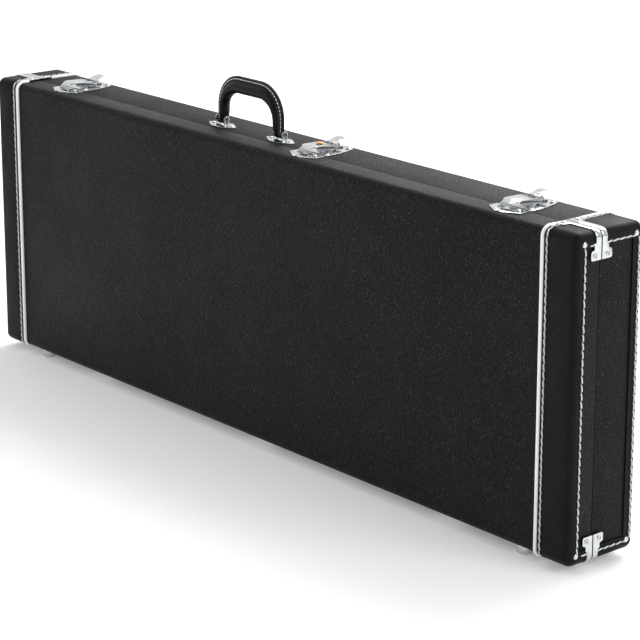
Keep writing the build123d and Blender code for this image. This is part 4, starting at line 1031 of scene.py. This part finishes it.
class CASE_OT_handle(bpy.types.Operator):
    """Wrap the handle in leather with a sewn outer fin"""

    bl_idname = "case.handle"
    bl_label = "Wrap the handle"

    ALONG = 120
    FIN_HALF = 1.7 * MM
    FIN_DEEP = 7.0 * MM
    STITCH_INSET = 3.4 * MM

    def execute(self, context):
        low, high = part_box("handle_grip")
        sizes = context.scene.case_sizes
        spine = self.spine(low, high)
        mesh = finished_mesh(self.wrap(spine), "handle_leather")
        mesh.set_sharp_from_angle(angle=math.radians(50))
        grip = add_piece("handle_leather", mesh, "grip_leather", "handle")
        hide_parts("handle_grip")
        runs = []
        for face in (-1, 1):
            run = []
            for place, outward, _, outer, _ in spine[3:-3]:
                point = place + outward * (outer - self.STITCH_INSET)
                point.y = face * self.FIN_HALF
                run.append((point, (0, face, 0)))
            runs.append(run)
        stitches = grown(stitch_tree(), runs, {
            "Pitch": sizes.grip_pitch, "Stitch Length": 0.66 * sizes.grip_pitch,
            "Thread Radius": sizes.grip_thread, "Slant": 0.1, "Twists": 0.5,
            "Material": finishes["thread_white"]})
        add_piece("handle_stitches", stitches, "thread_white", "handle")
        return {"FINISHED"}

    def spine(self, low, high):
        """Samples of the arch: place, outward way, and its inner, outer and side reaches."""
        leg = 12 * MM
        crown = 21 * MM
        outer_radius = 40 * MM
        axis_z = JOINT_AT["handle_swing"].z
        left, right = low.x + leg / 2, high.x - leg / 2
        top = high.z - leg / 2
        radius = outer_radius - leg / 2
        straight = top - radius - low.z
        bend = radius * math.pi / 2
        across = right - left - 2 * radius
        total = 2 * straight + 2 * bend + across
        samples = []
        for i in range(self.ALONG + 1):
            run = total * i / self.ALONG
            mirrored = run > total / 2
            run = total - run if mirrored else run
            if run < straight:
                place, outward = Vector((left, 0, low.z + run)), Vector((-1, 0, 0))
            elif run < straight + bend:
                turn = (run - straight) / radius
                outward = Vector((-math.cos(turn), 0, math.sin(turn)))
                place = Vector((left + radius, 0, top - radius)) + outward * radius
            else:
                place = Vector((left + radius + run - straight - bend, 0, top))
                outward = Vector((0, 0, 1))
            if mirrored:
                place.x = low.x + high.x - place.x
                outward.x = -outward.x
            swell = min(1.0, max(0.0, (run - straight * 0.6) / (straight * 0.4 + bend * 0.8)))
            swell = swell * swell * (3 - 2 * swell)
            full = min(1.0, (place.z - low.z) / (14 * MM))
            inner = leg / 2 + 3 * MM * full + (crown - leg - 3 * MM) * swell
            side = (5.5 + 1.7 * full + 1.0 * swell) * MM
            sunk = axis_z - place.z
            if sunk > 0:
                side = math.sqrt(max(0.0, side ** 2 - sunk ** 2)) + 0.3 * MM
            samples.append((place, outward, inner, leg / 2, side))
        return samples

    def section(self, inner, outer, side):
        """(outward, sideways) points round one section: a fin outside, a round body inside."""
        fin = min(self.FIN_HALF, side)
        root = outer - self.FIN_DEEP
        points = [(outer, -fin * 0.6), (outer, fin * 0.6), (outer - 0.5 * MM, fin),
                  (outer - 2.4 * MM, fin), (outer - 4.6 * MM, fin), (root + 1.2 * MM, fin * 1.1)]
        body = (root + 0.6 * MM + inner) / 2
        middle = root + 0.6 * MM - body
        steps = 14
        for i in range(steps + 1):
            angle = math.radians(62 - i * (180 + 2 * 62) / steps)
            points.append((middle + body * math.sin(angle), side * math.cos(angle)))
        points += [(n, -s) for n, s in reversed(points[2:6])]
        return points

    def wrap(self, spine):
        """The leather skin as a closed bmesh."""
        shape = bmesh.new()
        rings = []
        for place, outward, inner, outer, side in spine:
            rings.append([shape.verts.new(place + outward * n + Vector((0, s, 0)))
                          for n, s in self.section(inner, outer, side)])
        count = len(rings[0])
        for first, second in zip(rings, rings[1:]):
            for i in range(count):
                shape.faces.new((first[i], first[(i + 1) % count], second[(i + 1) % count],
                                 second[i]))
        shape.faces.new(tuple(reversed(rings[0])))
        shape.faces.new(tuple(rings[-1]))
        bmesh.ops.recalc_face_normals(shape, faces=shape.faces)
        return shape


class CASE_OT_padding(bpy.types.Operator):
    """Fill the case with plush-covered foam, swelled by a cloth simulation"""

    bl_idname = "case.padding"
    bl_label = "Pad the inside"

    FRAMES = 20
    INSET = 1.0 * MM
    SMOOTHING = 2

    def execute(self, context):
        sizes = context.scene.case_sizes
        rooms = [(f"bay_pad_{i + 1}", "bay_pads", box)
                 for i, box in enumerate(islands("bay_pads"))]
        rooms += [("floor_foam", "base_floor_pad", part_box("base_floor_pad")),
                  ("lid_foam", "lid_pad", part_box("lid_pad"))]
        pads = [(name, node, box, self.block(name, box, sizes)) for name, node, box in rooms]
        rest = self.rest_block(sizes)
        pads.append(("neck_saddle", "neck_rest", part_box("neck_rest"), rest))
        self.blow_up([pad for *_, pad in pads], sizes.pad_swell)
        for name, node, box, pad in pads:
            self.settle(pad, box)
            mesh = pad.data
            mesh.materials.append(finishes["plush_black"])
            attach(pad, BODY_OF[node])
            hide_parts(node)
        return {"FINISHED"}

    def block(self, name, box, sizes):
        """A block of even quads, a little smaller than its room."""
        low, high = box
        shape = bmesh.new()
        bmesh.ops.create_cube(shape, size=1.0)
        for i in range(3):
            along = [edge for edge in shape.edges
                     if abs(edge.verts[0].co[i] - edge.verts[1].co[i]) > 0.5]
            cuts = max(1, round((high[i] - low[i]) / sizes.pad_quad) - 1)
            bmesh.ops.subdivide_edges(shape, edges=along, cuts=cuts, use_grid_fill=True)
        for vertex in shape.verts:
            for i in range(3):
                span = high[i] - low[i] - 2 * self.INSET
                vertex.co[i] = (low[i] + high[i]) / 2 + vertex.co[i] * span
        pad = bpy.data.objects.new(name, finished_mesh(shape, name))
        bpy.context.scene.collection.objects.link(pad)
        return pad

    def rest_block(self, sizes):
        """The neck rest's own shape, remeshed."""
        shape = merged_shape("neck_rest")
        pad = bpy.data.objects.new("neck_saddle", finished_mesh(shape, "neck_saddle"))
        bpy.context.scene.collection.objects.link(pad)
        remesh = pad.modifiers.new("Even quads", "REMESH")
        remesh.mode = "VOXEL"
        remesh.voxel_size = 0.5 * sizes.pad_quad
        depsgraph = bpy.context.evaluated_depsgraph_get()
        even = bpy.data.meshes.new_from_object(pad.evaluated_get(depsgraph))
        pad.modifiers.remove(remesh)
        pad.data = even
        return pad

    def blow_up(self, pads, swell):
        """Blows each pad up with cloth pressure and keeps the change, up to a limit."""
        scene = bpy.context.scene
        for pad in pads:
            cloth = pad.modifiers.new("Foam", "CLOTH")
            cloth.settings.use_pressure = True
            cloth.settings.uniform_pressure_force = 4.0
            cloth.settings.effector_weights.gravity = 0.0
            cloth.settings.quality = 4
            cloth.point_cache.frame_start = 1
            cloth.point_cache.frame_end = self.FRAMES
        for step in range(1, self.FRAMES + 1):
            scene.frame_set(step)
        depsgraph = bpy.context.evaluated_depsgraph_get()
        for pad in pads:
            swelled = bpy.data.meshes.new_from_object(pad.evaluated_get(depsgraph))
            pad.modifiers.remove(pad.modifiers["Foam"])
            for vertex, moved in zip(pad.data.vertices, swelled.vertices):
                change = moved.co - vertex.co
                vertex.co += change * min(1.0, swell / max(change.length, swell / 10))
            bpy.data.meshes.remove(swelled)
        scene.frame_set(1)

    def settle(self, pad, box):
        """Keeps a pad inside its room and rounds its edges."""
        low, high = box
        shape = bmesh.new()
        shape.from_mesh(pad.data)
        for _ in range(self.SMOOTHING):
            bmesh.ops.smooth_vert(shape, verts=shape.verts, factor=0.5, use_axis_x=True,
                                  use_axis_y=True, use_axis_z=True)
            for vertex in shape.verts:
                for i in range(3):
                    vertex.co[i] = min(max(vertex.co[i], low[i]), high[i])
        shape.to_mesh(pad.data)
        shape.free()
        pad.data.shade_smooth()


class CASE_OT_stage(bpy.types.Operator):
    """Lay the floor, hang the soft lights and set the camera"""

    bl_idname = "case.stage"
    bl_label = "Set the stage"

    def execute(self, context):
        scene, stage = context.scene, context.scene.case_stage
        floor_finish(stage)
        shape = bmesh.new()
        bmesh.ops.create_grid(shape, x_segments=8, y_segments=8, size=stage.floor_size / 2)
        floor = bpy.data.objects.new("floor", finished_mesh(shape, "floor"))
        scene.collection.objects.link(floor)
        floor.data.materials.append(finishes["studio_floor"])
        self.lights(scene)
        self.world(scene)
        lens = bpy.data.cameras.new("camera")
        lens.lens = stage.lens
        lens.shift_y = stage.shift
        camera = bpy.data.objects.new("camera", lens)
        scene.collection.objects.link(camera)
        camera.location = stage.camera_place
        aim = Vector(stage.camera_aim) - Vector(stage.camera_place)
        camera.rotation_mode = "QUATERNION"
        camera.rotation_quaternion = aim.to_track_quat("-Z", "Y")
        scene.camera = camera
        scene.view_settings.view_transform = "Standard"
        return {"FINISHED"}

    @staticmethod
    def lights(scene):
        """Softboxes: one high behind the case, one at each side of the camera."""
        for name, place, size, power in (
                ("back_top", (-0.6, 2.2, 2.6), 2.6, 110.0),
                ("right_fill", (3.0, 0.6, 1.6), 1.8, 44.0),
                ("front_fill", (-0.8, -3.0, 2.2), 2.2, 36.0)):
            light = bpy.data.lights.new(name, "AREA")
            light.shape = "SQUARE"
            light.size = size
            light.energy = power
            lamp = bpy.data.objects.new(name, light)
            scene.collection.objects.link(lamp)
            lamp.location = place
            lamp.rotation_mode = "QUATERNION"
            lamp.rotation_quaternion = (CASE_MIDDLE - Vector(place)).to_track_quat("-Z", "Y")

    @staticmethod
    def world(scene):
        """Soft surroundings, brightest low behind the case and dim in front of it."""
        world = bpy.data.worlds.new("studio")
        scene.world = world
        world.use_nodes = True
        world.node_tree.nodes.clear()
        graph = Graph(world.node_tree)
        way = graph.add("ShaderNodeTexCoord").outputs["Generated"]
        behind = graph.add("ShaderNodeVectorMath", {0: way, 1: (-0.57, 0.80, 0.18)},
                           operation="DOT_PRODUCT").outputs["Value"]
        share = graph.remap(behind, -0.35, 0.75)
        colour = graph.mix_colour(share, (0.30, 0.31, 0.32, 1.0), (1.0, 1.0, 1.0, 1.0))
        glow = graph.add("ShaderNodeBackground", {"Color": colour, "Strength": 1.0})
        graph.add("ShaderNodeOutputWorld", {"Surface": glow.outputs[0]})


class CASE_PT_panel(bpy.types.Panel):
    """Lists the steps that build the case"""

    bl_idname = "CASE_PT_panel"
    bl_label = "Guitar Case"
    bl_space_type = "VIEW_3D"
    bl_region_type = "UI"
    bl_category = "Case"

    def draw(self, context):
        for step in STEPS:
            self.layout.operator(step.bl_idname)
        for owner, group in SETTINGS.items():
            settings = getattr(context.scene, owner)
            for name in group.__annotations__:
                self.layout.prop(settings, name)


STEPS = (CASE_OT_finishes, CASE_OT_shell, CASE_OT_woodwork, CASE_OT_fittings, CASE_OT_latches,
         CASE_OT_fasteners, CASE_OT_stitching, CASE_OT_handle, CASE_OT_padding, CASE_OT_stage)


def register():
    """Registers the settings, the steps and the panel."""
    for owner, group in SETTINGS.items():
        bpy.utils.register_class(group)
        setattr(bpy.types.Scene, owner, bpy.props.PointerProperty(type=group))
    for item in (*STEPS, CASE_PT_panel):
        bpy.utils.register_class(item)


def unregister():
    """Takes everything back out."""
    for item in reversed((*STEPS, CASE_PT_panel)):
        bpy.utils.unregister_class(item)
    for owner, group in SETTINGS.items():
        delattr(bpy.types.Scene, owner)
        bpy.utils.unregister_class(group)


def main():
    """Builds the case step by step."""
    register()
    for step in STEPS:
        prefix, name = step.bl_idname.split(".")
        getattr(getattr(bpy.ops, prefix), name)()


if __name__ == "__main__":
    main()
